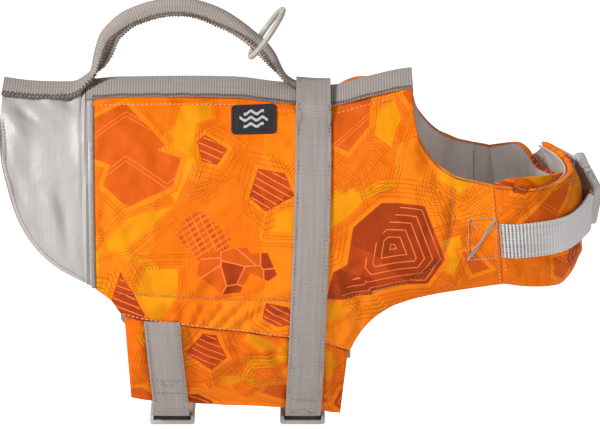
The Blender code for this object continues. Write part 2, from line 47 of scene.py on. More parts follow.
SIDES = (("right", RIGHT), ("left", LEFT))

# ---------------------------------------------------------------- the jacket's form, as in its CAD
BAND_TOP = 9.3
SEAM_GAP = 0.3
PANEL = 5
LINING = 1.1
THIN_PANEL = 2.4
WEBBING = 1.5
STRAP_WIDTH = 25
STRAP_CLEAR = 0.6
BAND_DROP = 2.8
FLAP_SET_IN = 1.6
TAPE_SET_IN = 5.4
TAPE = 1
LINING_ABOVE_HEM = 9
LINING_CLEAR = 0.9
MIDDLE = np.array((60, 0, -110))

DEPTHS = (0, 12, 30, 60, 90, 120, 150, 190, 230, 255)
HALF_WIDTHS = (
    (-146, (0, 24, 40, 52, 58, 60, 58, 50, 40, 32)),
    (-80, (0, 26, 43, 58, 65, 67, 64, 56, 44, 36)),
    (0, (0, 28, 46, 62, 71, 75, 74, 66, 50, 40)),
    (75, (0, 28, 47, 64, 73, 77, 76, 68, 50, 40)),
    (120, (0, 28, 46, 62, 69, 70, 67, 62, 48, 38)),
    (150, (0, 28, 44, 58, 65, 65, 58, 52, 44, 36)),
    (178, (0, 28, 44, 58, 62, 60, 51, 44, 40, 34)),
    (206, (0, 28, 44, 57, 62, 58, 46, 40, 36, 32)),
)
RIDGE = (
    (-147, 0.7), (-124, -2.6), (-100, -3.4), (-80, -1.6), (-60, 0), (20, 0), (52, -3.7), (89, -6),
    (115, 0.4), (140, 6), (160, 7), (210, 7),
)
RIDGE_UNDER_BAND = 2.7
ON_RIDGE = None
LEAST_DROP = 0.04
REAR_PANEL_LINES = (
    (-142, ON_RIDGE, -142.6, -12), (-138.5, ON_RIDGE, -143.6, -30), (-134, ON_RIDGE, -142.4, -50),
    (-128, ON_RIDGE, -138, -68), (-121, ON_RIDGE, -131.5, -88), (-111, ON_RIDGE, -121, -106),
    (-100, ON_RIDGE, -107, -120), (-90, ON_RIDGE, -92, -129), (-81.5, ON_RIDGE, -79.5, -136.5),
)
SIDE_PANEL_LINES = (
    (-78.5, ON_RIDGE, -76, -138), (-70, ON_RIDGE, -66, -146.5), (-62, ON_RIDGE, -58, -157),
    (-45, ON_RIDGE, -43, -160.5), (-22, ON_RIDGE, -20, -163), (0, ON_RIDGE, 0, -165),
    (20, ON_RIDGE, 20, -166.5), (40, ON_RIDGE, 40, -169), (60, ON_RIDGE, 60, -171.5),
    (75, ON_RIDGE, 75, -174), (89, ON_RIDGE, 88, -177), (100, ON_RIDGE, 98, -181),
    (108, ON_RIDGE, 102.5, -181.5), (116, ON_RIDGE, 106, -175), (125, ON_RIDGE, 112, -166),
    (134, ON_RIDGE, 120.5, -158), (144, ON_RIDGE, 129, -153), (146, -12, 135, -150.5),
    (147.5, -22, 141, -149), (150, -31, 147, -147.5), (154, -38, 153, -146.5), (160, -46, 160, -145.5),
    (168, -53, 168, -144.5), (178, -58, 178, -143.5), (190, -61, 192, -142), (202.2, -64, 209.4, -140),
)
BELLY_FLAP_LINES = (
    (-57, -158.5, -53, -223), (-43, -161, -41, -225), (-20, -163.5, -18, -226), (0, -165.5, 0, -227),
    (20, -167, 20, -228), (40, -169.5, 40, -228.5), (60, -172, 60, -229.5), (75, -174.5, 74, -230.5),
    (88, -177.5, 86, -232), (101, -183, 95.5, -234),
)
CHEST_SEAM_TOP = (202.5, -64)
CHEST_SEAM_LEAN = 0.095
CHEST_REACH = (
    (-150, 42), (-140, 51), (-130, 56), (-120, 59), (-100, 61), (-85, 62), (-72, 60), (-60, 55), (-50, 46),
)
OUTER_FLAP_LINES = (
    (0, -64, -140, 0), (12, -65.5, -142, 0), (24, -67.5, -143.5, 0), (36, -68, -145, 0),
    (50, -67, -146.5, 0), (64, -65.5, -148, 0), (78, -64, -149, 0), (92, -62, -149, 0), (106, -59, -149, 0),
    (118, -56.5, -148.5, 0), (130, -55, -148, 0),
)
INNER_FLAP_LINES = (
    (180, -64, -140, 0), (172, -62.5, -142, 0), (164, -61, -144, 0), (156, -60, -145, 0.4),
    (149, -62, -146, 3), (143, -67, -147, 6), (137, -72, -147, 7.8), (126, -74, -147, 8),
    (114, -73, -147, 8), (102, -69, -147, 8), (90, -65.5, -147, 8), (76, -62, -146, 8), (62, -60, -144, 8),
    (48, -58.5, -142, 8), (34, -58, -140, 8), (20, -58.5, -137, 8), (6, -61, -132, 8), (-8, -66, -124, 8),
)
GIRTH_LINE = ((10, 76.1), (-60, 75.8), (-150, 72.5), (-200, 70.5), (-240, 68.5))
REAR_LINE = ((-158, -30.5), (-190, -28), (-225, -25), (-240, -24))
REAR_STRAP_TOP = -160
HEM_HEIGHT = -229
STRAP_OVER_BAND = 5
BAND_CLEARED = (2.9, 3.9)
UNDER_BELLY = {
    "right": ((46, -233), (43.8, -234.9), (40.8, -236.4), (37.4, -237.2), (34, -237.6)),
    "left": ((46.5, -234.5), (42, -239.5), (34, -241.8), (26, -242.2), (18.6, -242.2)),
}
CHEST_STRAP = {  # angle, height, how far off the chest
    "right": ((0.6, -103.5, -0.2), (10, -104, 0.7), (20, -104, 0.7), (30, -104, 0.7), (40, -104, 0.7),
              (50, -103.5, 0.8), (60, -102, 1.2), (70, -99, 3), (79, -95.5, 5.4)),
    "left": ((0.6, -101, -0.2), (9, -97, 0.8), (17, -92.5, 0.8), (25, -87, 1.2), (33, -81.5, 2.4),
             (41, -76.5, 4.8)),
}
CHEST_LEAD_IN = {  # along the buckle, and up from its middle
    "right": ((-27.4, -4.9), (-21.6, -4.9)),
    "left": ((18.4, -4.9), (13, -4.9)),
}
BELLY_BUCKLE_MIDDLE = -7.6
BELLY_BUCKLE_HEIGHT = -241.6
CHEST_BUCKLE_ANGLE = 108
CHEST_BUCKLE_HEIGHT = -85
CHEST_BUCKLE_OFF = 5.4
CHEST_BUCKLE_ROLL = 24
RING_HOLE_RADIUS = 17.9
RING_TUBE_RADIUS = 2.05
RING_STATION = 37.8
RING_HEIGHT = 23.4
RING_TILT = 35
RING_OFF_AXIS = 9.5
PATCH_STATIONS = (18.5, 50)
PATCH_HEIGHTS = (-14.5, -31)
PATCH_CLEAR = 0.5
PIPING_RADIUS = 1.1
PIPING_PROUD = 0.2
PIPING_STATIONS = (-80, -77.8)
PIPING_TOP_DROP = 3.3
PIPING_BOTTOM = -136.5
HANDLE_SECTIONS = (
    (-142, ON_RIDGE, 19, 7, 7, 0), (-135, ON_RIDGE, 19, 6.8, 6.8, 0), (-126, ON_RIDGE, 19, 6.6, 6.6, 0),
    (-114, ON_RIDGE, 19, 6.4, 6.4, 0), (-102, ON_RIDGE, 19, 6.2, 6.2, 0), (-92, ON_RIDGE, 18, 5.4, 5.4, 0),
    (-85.5, -1.4, 14.5, 3, 3, 0.3), (-81.6, 2.2, 10, 3.4, 4, 0.6), (-79.6, 7.5, 7, 3.6, 8.4, 0.8),
    (-78.4, 14.5, 4.8, 4.6, 11.6, 1), (-76.2, 23, 4.2, 5.2, 12.8, 1), (-73.5, 30.5, 3.8, 6.2, 13, 1),
    (-68, 37.5, 3.6, 7.6, 13, 1), (-58, 46, 3.5, 9, 13, 1), (-48, 50.5, 3.5, 9, 13, 1),
    (-37, 54, 3.5, 9, 13, 1), (-24, 56, 3.5, 9, 13, 1), (-10, 55.5, 3.5, 9, 13, 1), (3, 52, 3.5, 9, 13, 1),
    (14, 47, 3.5, 9, 13, 1), (24, 40.5, 3.5, 7.2, 11.5, 1), (34, 32.5, 3.4, 5.4, 10.4, 1),
    (42, 25.5, 3.4, 5, 10.2, 1), (48.5, 17, 4, 4.6, 9.8, 1), (52.5, 8.5, 5.6, 3.8, 7.2, 0.8),
    (55.8, 2, 8, 2.4, 4.2, 0.5), (59.5, -2.2, 10, 1.6, 1.6, 0.1), (64, ON_RIDGE, 10.5, 1.5, 1.5, 0),
    (72, ON_RIDGE, 10.5, 1.5, 1.5, 0), (80, ON_RIDGE, 10.5, 1.5, 1.5, 0),
    (88, ON_RIDGE, 10.5, 1.5, 1.5, 0),
)
HANDLE_ON_REAR = SEAM_GAP + WEBBING / 2
HANDLE_ON_BAND = 2 * (SEAM_GAP + WEBBING) - WEBBING / 2


# ---------------------------------------------------------------- camera
def set_camera():
    """Level with the belly, fifteen degrees up, from far enough away for a long lens."""
    aim = Vector((66.7, 0.0, -91.7)) * MM
    rise = math.radians(15)
    data = bpy.data.cameras.new("camera")
    data.lens = 338
    data.sensor_width = 36
    camera = bpy.data.objects.new("camera", data)
    bpy.context.scene.collection.objects.link(camera)
    camera.location = aim + Vector((0, -math.cos(rise), math.sin(rise))) * 4.0
    camera.rotation_euler = (math.pi / 2 - rise, 0, 0)
    bpy.context.scene.camera = camera


set_camera()


# ---------------------------------------------------------------- curves and surfaces
def along(places, values, at):
    """Values on a smooth curve through rows at rising places. Each point may have rows of its own."""
    at = np.asarray(at, float)
    places = np.asarray(places, float)
    values = np.asarray(values, float)
    if values.ndim == 1:
        values = values.reshape(-1, *[1] * at.ndim)
    values = np.broadcast_to(values, (len(places), *at.shape))
    last = len(places) - 1
    order = np.arange(last + 1)
    before, after = np.maximum(order - 1, 0), np.minimum(order + 1, last)
    slopes = (values[after] - values[before]) / (places[after] - places[before]).reshape(-1, *[1] * at.ndim)
    i = np.clip(np.searchsorted(places, at, side="right") - 1, 0, last - 1)
    step = places[i + 1] - places[i]
    t = np.clip((at - places[i]) / step, 0, 1)
    low, high = (np.take_along_axis(values, k[None], 0)[0] for k in (i, i + 1))
    leave, reach = (np.take_along_axis(slopes, k[None], 0)[0] for k in (i, i + 1))
    start = (1 + 2 * t) * (1 - t) ** 2 * low + t * (1 - t) ** 2 * step * leave
    return start + t * t * (3 - 2 * t) * high + t * t * (t - 1) * step * reach


def read(table, at):
    rows = sorted(table)
    return along([row[0] for row in rows], [row[1] for row in rows], at)


def lengths(points, axis=0):
    """How far each point is along its line of points."""
    steps = np.linalg.norm(np.diff(points, axis=axis), axis=-1)
    return np.concatenate([np.zeros_like(steps.take([0], axis)), np.cumsum(steps, axis)], axis)


def smooth(run, rows, at):
    """Each column of rows, read on a smooth curve at lengths along their run."""
    return np.stack([along(run, column, at) for column in rows.T], -1)


def straight(run, rows, at):
    """Each column of rows, read on straight lines at lengths along their run."""
    return np.stack([np.interp(at, run, column) for column in rows.T], -1)


def ease(low, high, at):
    share = np.clip((np.asarray(at, float) - low) / (high - low), 0, 1)
    return share * share * (3 - 2 * share)


def mound(distance, width):
    """1 on a line, falling away on both sides of it."""
    return np.exp(-((distance / width) ** 2))


def ripple(at, length, bend, over):
    """A wave whose length drifts."""
    return np.sin(2 * np.pi * at / length + bend * np.sin(at / over))


def rounded(distance, radius):
    """0 at an edge and 1 past its rounding, on a quarter circle."""
    near = np.clip(distance / radius, 0, 1)
    return np.sqrt(np.maximum(1 - (1 - near) ** 2, 0))


def ridge(station):
    return read(RIDGE, station) + BAND_TOP - RIDGE_UNDER_BAND


def drop_at(station, height):
    """The square root of the depth below the ridge."""
    return np.sqrt(np.maximum(ridge(station) - height - BAND_TOP, 0))


def line_drop(station, height):
    return LEAST_DROP if height is ON_RIDGE else float(drop_at(station, height))


def paired(first, second):
    return np.broadcast_arrays(np.asarray(first, float), np.asarray(second, float))


def half_width(station, drop):
    station, drop = paired(station, drop)
    roots = [math.sqrt(depth) for depth in DEPTHS]
    rows = np.array([along(roots, widths, drop) for _, widths in HALF_WIDTHS])
    return along([row[0] for row in HALF_WIDTHS], rows, station)


def shell(side, station, drop):
    station, drop = paired(station, drop)
    return np.stack([station, side * half_width(station, drop), ridge(station) - drop * drop], -1)


def unit(vectors):
    return vectors / np.maximum(np.linalg.norm(vectors, axis=-1, keepdims=True), 1e-9)


def outward(normals, points):
    away = np.sum(normals * (points - MIDDLE), -1, keepdims=True)
    return np.where(away < 0, -normals, normals)


def lifted(surface, first, second, lift, low=None):
    """Points of a surface moved out along its normals, with the normals."""
    step = 0.05
    first, second = paired(first, second)
    back = second - step if low is None else np.maximum(second - step, low)
    points = surface(first, second)
    normals = unit(np.cross(surface(first + step, second) - surface(first - step, second),
                            surface(first, second + step) - surface(first, back)))
    normals = outward(normals, points)
    return points + normals * np.asarray(lift, float)[..., None], normals


def laid_on_body(side, station, drop, lift):
    """Points at a lift over the body, with the body's normals."""
    return lifted(lambda a, b: shell(side, a, b), station, np.maximum(drop, LEAST_DROP), lift, low=0.0)


def on_body(side, station, drop, lift):
    return laid_on_body(side, station, drop, lift)[0]


def chest_seam(height):
    return CHEST_SEAM_TOP[0] + (CHEST_SEAM_TOP[1] - np.asarray(height, float)) * CHEST_SEAM_LEAN


def chest(angle, height):
    angle, height = paired(angle, height)
    seam = chest_seam(height)
    turn = np.radians(angle)
    width = half_width(seam, drop_at(seam, height))
    forward = read(CHEST_REACH, height) * np.sin(turn)
    return np.stack([seam + SEAM_GAP + forward, -width * np.cos(turn), height + BAND_TOP], -1)


def on_chest(angle, height, lift):
    return lifted(chest, angle, height, lift)[0]


ARC_STEP = 5.0


def arc_lengths():
    """How far the cloth runs down from the spine, for each station and drop: the print's second measure."""
    stations = np.arange(-155.0, 275.0, ARC_STEP)
    drops = np.linspace(0.0, 16.5, 331)
    return stations, drops, lengths(shell(RIGHT, stations[:, None], drops[None, :])[..., 1:], 1)


ARC_STATIONS, ARC_DROPS, ARCS = arc_lengths()


def arc(station, drop):
    station, drop = paired(station, drop)
    a = np.clip((station - ARC_STATIONS[0]) / ARC_STEP, 0, len(ARC_STATIONS) - 1.001)
    b = np.clip(drop / ARC_DROPS[1], 0, len(ARC_DROPS) - 1.001)
    i, j = a.astype(int), b.astype(int)
    p, q = a - i, b - j
    near, far = (ARCS[k, j] * (1 - q) + ARCS[k, j + 1] * q for k in (i, i + 1))
    return near * (1 - p) + far * p


def flat_arc(station, height):
    return float(arc(station, drop_at(station, height)))


def distance_to(path, u, v):
    """Distance from each flat point to a path, and how far along the path it is, from 0 to 1."""
    best = np.full(u.shape, 1e9)
    where = np.zeros(u.shape)
    count = len(path) - 1
    for k in range(count):
        (au, av), (bu, bv) = path[k], path[k + 1]
        du, dv = bu - au, bv - av
        t = np.clip(((u - au) * du + (v - av) * dv) / (du * du + dv * dv), 0, 1)
        d = np.hypot(u - au - t * du, v - av - t * dv)
        where = np.where(d < best, (k + t) / count, where)
        best = np.minimum(d, best)
    return best, where


def creases(u, v, table):
    """Soft troughs and ridges: each row is start u, v, end u, v, width, and depth, below 0 for a trough."""
    total = np.zeros(u.shape)
    for start_u, start_v, end_u, end_v, width, depth in table:
        d, t = distance_to(((start_u, start_v), (end_u, end_v)), u, v)
        total += depth * mound(d, width) * np.sqrt(np.clip(np.sin(np.pi * (0.04 + 0.92 * t)), 0, 1))
    return total


def cut_grid(lines, columns, rows):
    """Station and drop at each corner of a panel cut between smoothed cut lines."""
    corners = np.array([(a, line_drop(a, b), c, line_drop(c, d)) for a, b, c, d in lines])
    flat = np.array([(a, float(arc(a, p)), c, float(arc(c, q))) for a, p, c, q in corners])
    steps = np.diff(flat, axis=0)
    run = np.maximum(np.hypot(steps[:, 0], steps[:, 1]), np.hypot(steps[:, 2], steps[:, 3]))
    places = np.concatenate([[0], np.cumsum(run)])
    at = np.linspace(0, places[-1], columns + 1)
    top_s, top_d, low_s, low_d = (along(places, corners[:, k], at)[:, None] for k in range(4))
    share = (np.linspace(0, 1, rows + 1) ** 0.85)[None, :]
    return top_s + (low_s - top_s) * share, np.maximum(top_d + (low_d - top_d) * share, LEAST_DROP)


def from_edges(points):
    """Distance along the grid from the first column, last column, top row and bottom row."""
    first, top = lengths(points, 0), lengths(points, 1)
    return first, first[-1:] - first, top, top[:, -1:] - top


def panel(side, lines, columns, rows):
    """Station, drop and arc of a panel cut between two lines, and its distances from its four edges."""
    station, drop = cut_grid(lines, columns, rows)
    return station, drop, arc(station, drop), from_edges(shell(side, station, drop))


# ---------------------------------------------------------------- meshes
def turn_outwards(mesh, merge=0.0):
    """Merges doubled points and turns every face outwards."""
    fix = bmesh.new()
    fix.from_mesh(mesh)
    if merge:
        bmesh.ops.remove_doubles(fix, verts=fix.verts[:], dist=merge)
    bmesh.ops.recalc_face_normals(fix, faces=fix.faces[:])
    fix.to_mesh(mesh)
    fix.free()


def mesh_piece(name, points, faces, finish, flat=None, sharp=None, turned=False):
    """A piece of the vest from points in mm. Its UV map is the flat cloth, in metres."""
    mesh = bpy.data.meshes.new(name)
    mesh.from_pydata((points * MM).tolist(), [], faces)
    if flat is not None:
        layer = mesh.uv_layers.new(name="cloth")
        order = np.zeros(len(mesh.loops), np.int32)
        mesh.loops.foreach_get("vertex_index", order)
        layer.data.foreach_set("uv", (np.asarray(flat, np.float32)[order] * MM).ravel())
    if turned:
        turn_outwards(mesh)
    mesh.shade_smooth()
    if sharp:
        mesh.set_sharp_from_angle(angle=math.radians(sharp))
    made = bpy.data.objects.new(name, mesh)
    bpy.context.scene.collection.objects.link(made)
    mesh.materials.append(finish)
    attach(made, "vest")
    return made


def wall(name, outer, inner, flat, finish, sharp=50, inner_finish=None):
    """A closed wall between two grids of points."""
    columns, rows = outer.shape[:2]
    count = columns * rows
    index = np.arange(count).reshape(columns, rows)
    face = np.stack([index[:-1, :-1], index[1:, :-1], index[1:, 1:], index[:-1, 1:]], -1).reshape(-1, 4)
    rim = np.concatenate([index[:, 0], index[-1, 1:], index[-2::-1, -1], index[0, -2:0:-1]])
    after = np.roll(rim, -1)
    edge = np.stack([after, rim, rim + count, after + count], -1)
    faces = np.concatenate([face, face[:, ::-1] + count, edge])
    i, j = columns // 2, rows // 2
    corner = outer[i, j]
    facing = np.dot(np.cross(outer[i + 1, j] - corner, outer[i, j + 1] - corner), corner - inner[i, j])
    if facing < 0:
        faces = faces[:, ::-1]
    points = np.concatenate([outer.reshape(-1, 3), inner.reshape(-1, 3)])
    both = np.concatenate([flat.reshape(-1, 2)] * 2)
    made = mesh_piece(name, points, faces.tolist(), finish, both, sharp)
    if inner_finish is not None:
        made.data.materials.append(inner_finish)
        which = np.zeros(len(faces), np.int32)
        which[len(face): 2 * len(face)] = 1
        made.data.polygons.foreach_set("material_index", which)
    return made


def body_wall(name, side, station, drop, over, under, finish):
    """A wall between two lifts over the body, with its UV map along the spine and down from it."""
    outer, inner = (on_body(side, station, drop, lift) for lift in (over, under))
    return wall(name, outer, inner, np.stack([station, arc(station, drop)], -1), finish)


def grid_normals(points):
    return unit(np.cross(np.gradient(points, axis=0), np.gradient(points, axis=1)))


# A stitch: four rings of four corners, thin at both ends and arched in the middle. Each ring's place and
# height are in shares of the stitch's length and thickness.
STITCH_RINGS = ((-0.5, 0.35, -0.35), (-0.28, 1.0, 0.25), (0.28, 1.0, 0.25), (0.5, 0.35, -0.35))
STITCH_CORNERS = ((1, -1), (1, 1), (-1, 1), (-1, -1))
STITCH_SIDES = [(a + k, a + (k + 1) % 4, a + 4 + (k + 1) % 4, a + 4 + k) for a in (0, 4, 8) for k in range(4)]
STITCH_ENDS = [(3, 2, 1, 0), (12, 13, 14, 15)]


def stitch_mesh(name, runs, finish, length=2.3, gap=0.9, thick=0.32):
    """Thread lying along runs of (points, normals), as one mesh of short arched stitches."""
    stitches = []
    for path, normals in runs:
        run = lengths(path)
        count = int(run[-1] / (length + gap))
        at = (np.arange(count) + 0.5) * run[-1] / max(count, 1)
        centre = straight(run, path, at)
        ahead = unit(straight(run, path, at + 0.4) - straight(run, path, at - 0.4))
        up = unit(straight(run, normals, at))
        aside = unit(np.cross(ahead, up))
        corners = [centre + ahead * place * length + up * arch * thick + (aside * x + up * y) * radius * thick
                   for place, radius, arch in STITCH_RINGS for x, y in STITCH_CORNERS]
        stitches.append(np.stack(corners, 1))
    points = np.concatenate(stitches).reshape(-1, 3)
    firsts = np.arange(0, len(points), len(STITCH_RINGS) * len(STITCH_CORNERS))
    faces = firsts[:, None, None] + np.array(STITCH_SIDES + STITCH_ENDS)
    return mesh_piece(name, points, faces.reshape(-1, 4).tolist(), finish, turned=True)


def zigzag(path, normals, width, pitch):
    """A run that swings from side to side across a path, as an overlock thread does."""
    run = lengths(path)
    at = np.arange(0, run[-1], pitch / 2)
    points, up = straight(run, path, at), unit(straight(run, normals, at))
    aside = unit(np.cross(np.gradient(points, axis=0), up))
    swing = np.where(np.arange(len(at)) % 2 == 0, 0.5, -0.5) * width
    return points + aside * swing[:, None], up


# ---------------------------------------------------------------- materials
def linear(code):
    """An sRGB hex colour as the linear colour a shader takes."""
    parts = [int(code[i:i + 2], 16) / 255 for i in (0, 2, 4)]
    return (*[p / 12.92 if p <= 0.04045 else ((p + 0.055) / 1.055) ** 2.4 for p in parts], 1.0)


NODE_MODES = {"Math": "operation", "VectorMath": "operation", "Mix": "data_type",
              "TexNoise": "noise_dimensions", "TexVoronoi": "voronoi_dimensions"}


def feed(tree, node, inputs):
    """Sets or links a node's inputs. A node that is given is read by its first live output."""
    for key, value in inputs.items():
        if isinstance(value, bpy.types.Node):
            value = next(output for output in value.outputs if output.enabled)
        if isinstance(value, bpy.types.NodeSocket):
            tree.links.new(value, node.inputs[key])
        elif value is not None:
            node.inputs[key].default_value = value
    return node


def add(tree, kind, *values, **settings):
    """Adds a node by its kind and mode, with its settings, and with values for its live inputs in order."""
    kind, _, mode = kind.partition(" ")
    node = tree.nodes.new("ShaderNode" + kind)
    if mode:
        settings = {NODE_MODES[kind]: mode, **settings}
    for key, value in settings.items():
        setattr(node, key, value)
    live = [place for place, socket in enumerate(node.inputs) if socket.enabled]
    return feed(tree, node, dict(zip(live, values)))


def new_finish(name, **constants):
    """A material, with what adds a node to it and what sets or links its shader's inputs."""
    made = bpy.data.materials.new(name)
    made.use_nodes = True
    principled = made.node_tree.nodes["Principled BSDF"]

    def shader(**inputs):
        feed(made.node_tree, principled, {key.replace("_", " "): value for key, value in inputs.items()})

    shader(**constants)
    return made, functools.partial(add, made.node_tree), shader


# Motifs of the print, in mm on the flat cloth: along the back, down from the spine, turn in degrees, half
# length, half height, corners. Each becomes an uneven straight-sided outline, and overlapping ones of a kind
# make one facet.
MOTIFS_RIGHT = {
    "deep": ((-56, 54, 4, 30, 26, 5), (-44, 78, 40, 26, 30, 5), (100, 40, 20, 17, 26, 5),
             (150, 26, 40, 10, 14, 5), (189, 154, 24, 12, 10, 4)),
    "amber": ((-16, 66, 6, 10, 38, 5), (-50, 122, -22, 38, 9, 4), (-6, 36, 30, 13, 12, 4),
              (-34, 168, 20, 15, 26, 5), (128, 50, 6, 9, 20, 5), (168, 148, 10, 13, 20, 5),
              (64, 112, -12, 24, 8, 5), (96, 104, 24, 12, 16, 4), (176, 92, 20, 13, 10, 5),
              (86, 172, 14, 14, 12, 4)),
    "striped": ((46, 92, 14, 17, 16, 5), (5, 66, -25, 11, 12, 5), (52, 181, 15, 14, 9, 5),
                (-53, 172, 2, 13, 24, 4)),
    "bars": ((0, 128, 40, 20, 17, 6),),
    "cells": ((16, 150, -8, 22, 19, 6), (38, 146, 10, 14, 11, 5)),
    "nested": ((133, 141, 14, 37, 36, 7), (105, 158, -12, 22, 17, 5)),
    "hills": ((20, 96, -30, 16, 9, 5), (70, 52, -34, 20, 8, 5), (112, 84, 16, 12, 9, 5),
              (-66, 150, 30, 14, 9, 5), (176, 108, 20, 10, 8, 5)),
}
MOTIFS_LEFT = {
    "deep": ((-34, 56, -12, 30, 28, 5), (62, 150, 12, 22, 17, 5), (132, 50, -18, 17, 24, 5),
             (182, 142, 30, 12, 10, 4)),
    "amber": ((10, 78, -10, 10, 34, 5), (36, 38, 30, 14, 12, 4), (-46, 146, 20, 14, 26, 5),
              (100, 96, 8, 10, 22, 5), (160, 114, 10, 13, 18, 5), (-20, 112, -20, 34, 8, 4),
              (92, 160, 30, 14, 11, 5)),
    "striped": ((70, 76, -18, 17, 16, 5), (-6, 134, 25, 12, 13, 5), (22, 186, 15, 14, 9, 5),
                (112, 174, 12, 15, 19, 4)),
    "bars": ((42, 112, -36, 19, 16, 6),),
    "cells": ((24, 150, 12, 22, 18, 6), (164, 74, 30, 13, 12, 5)),
    "nested": ((128, 138, -18, 36, 33, 7), (-66, 180, 14, 16, 15, 5)),
    "hills": ((30, 88, 30, 16, 9, 5), (96, 44, 34, 20, 8, 5), (150, 96, -16, 12, 9, 5),
              (-66, 104, -30, 14, 9, 5)),
}
MOTIFS_BELLY = {
    "deep": ((64, 248, 8, 26, 9, 5), (-46, 252, 10, 12, 8, 5)),
    "amber": ((38, 204, 20, 13, 6, 5), (86, 218, 12, 6, 14, 5), (20, 238, 10, 11, 5, 5),
              (-34, 224, 16, 6, 12, 5)),
    "striped": ((1, 214, 24, 15, 15, 5), (-10, 256, 8, 16, 6, 4)),
    "nested": ((100, 250, 20, 9, 12, 5),),
    "hills": ((52, 224, -20, 16, 7, 5), (-24, 206, 20, 9, 8, 5)),
}
MOTIFS_CHEST = {
    "deep": ((252, 116, -26, 30, 9, 5), (322, 106, 12, 20, 15, 5), (262, 164, 20, 14, 12, 5)),
    "amber": ((220, 136, 12, 10, 15, 5), (268, 92, 20, 22, 8, 5), (344, 140, 22, 15, 11, 5),
              (284, 142, 8, 12, 17, 4)),
    "striped": ((230, 97, 6, 14, 7, 5), (300, 160, 14, 13, 9, 5)),
    "nested": ((276, 152, 16, 10, 18, 5), (366, 112, 16, 20, 22, 6)),
    "hills": ((244, 142, -30, 12, 8, 5), (300, 128, 30, 16, 9, 5)),
}
ORANGE, BAND_ORANGE, AMBER, DEEP, BRICK, EMBER, LIGHT_LINE, DARK_LINE = map(linear, (
    "F27206", "FA820E", "EC9206", "D65A0E", "A83C10", "C04812", "FF7E3C", "CC6204"))
FOLDS = ((True, 17.0, 0.5, 7.0), (False, 23.0, 0.45, 11.0), (True, 41.0, 0.3, 3.0))
FAR_BEFORE = 1000.0  # added to a place before a triangle wave is taken, so that it is never below 0
LINE_WIDTH = 0.62
TO_MM = 1000.0


def outline(u, v, turn, half_u, half_v, corners, chance):
    """Edges of an uneven facet with its corners on an ellipse: the outward direction and distance of each."""
    share = (np.arange(corners) + chance.uniform(-0.34, 0.34, corners)) / corners
    x, y = half_u * np.cos(2 * np.pi * share), half_v * np.sin(2 * np.pi * share)
    turned = math.radians(turn)
    x, y = u + x * math.cos(turned) - y * math.sin(turned), v + x * math.sin(turned) + y * math.cos(turned)
    ahead = np.stack([np.roll(x, -1) - x, np.roll(y, -1) - y], -1)
    ahead /= np.linalg.norm(ahead, axis=1, keepdims=True)
    return [(float(b), float(-a), float(b * p - a * q)) for (a, b), p, q in zip(ahead, x, y)]


def facets(node, place, table, chance):
    """Signed distance in mm to the nearest of several facets, below 0 inside. Contours keep their corners."""
    split = node("SeparateXYZ", place).outputs
    nearest = None
    for row in table:
        edges = outline(*row, chance)
        edges += [edges[-1]] * (-len(edges) % 3)
        furthest = None
        for k in range(0, len(edges), 3):  # three edges at a time, as the parts of a vector
            across, down, out = (tuple(edge[part] for edge in edges[k:k + 3]) for part in range(3))
            lower = node("VectorMath MULTIPLY_ADD", split[1], down, tuple(-c for c in out))
            three = node("VectorMath MULTIPLY_ADD", split[0], across, lower)
            furthest = three if furthest is None else node("VectorMath MAXIMUM", furthest, three)
        parts = node("SeparateXYZ", furthest).outputs
        inset = node("Math MAXIMUM", node("Math MAXIMUM", parts[0], parts[1]), parts[2])
        nearest = inset if nearest is None else node("Math MINIMUM", nearest, inset)
    return nearest


def kinked(node, place, folds):
    """Bends straight lines into short runs, by adding triangle waves: into u, length, swing, start."""
    for into_u, length, swing, start in folds:
        from_axis = node("SeparateXYZ", place).outputs[1 if into_u else 0]
        wave = node("Math PINGPONG", node("Math ADD", from_axis, FAR_BEFORE + start), length)
        push = node("Math MULTIPLY_ADD", wave, swing, -swing * length / 2)
        place = node("VectorMath ADD", place, node("CombineXYZ", *((push,) if into_u else (0.0, push))))
    return place


def rings(node, distance, start, spacing, count, width=LINE_WIDTH):
    """1 on thin lines at even distances from a facet: the first at start, and count of them in all."""
    level = node("Math MULTIPLY_ADD", distance, 1 / spacing, -start / spacing)
    thin = node("Math LESS_THAN", node("Math FRACT", level), width / spacing)
    return node("Math MULTIPLY", thin, node("Math COMPARE", level, count / 2, count / 2))


def slanted(node, place, across, spacing, width):
    """1 on straight lines square to a direction."""
    level = node("Math MULTIPLY", node("VectorMath DOT_PRODUCT", place, (*across, 0)), 1 / spacing)
    return node("Math LESS_THAN", node("Math FRACT", level), width / spacing)


def weave_height(node, place, pitch):
    """Height of a plain weave, its threads one pitch apart."""
    split = node("SeparateXYZ", place).outputs
    waves = [node("Math SINE", node("Math MULTIPLY", split[k], 2 * math.pi / pitch)) for k in (0, 1)]
    return node("Math MULTIPLY", *waves)


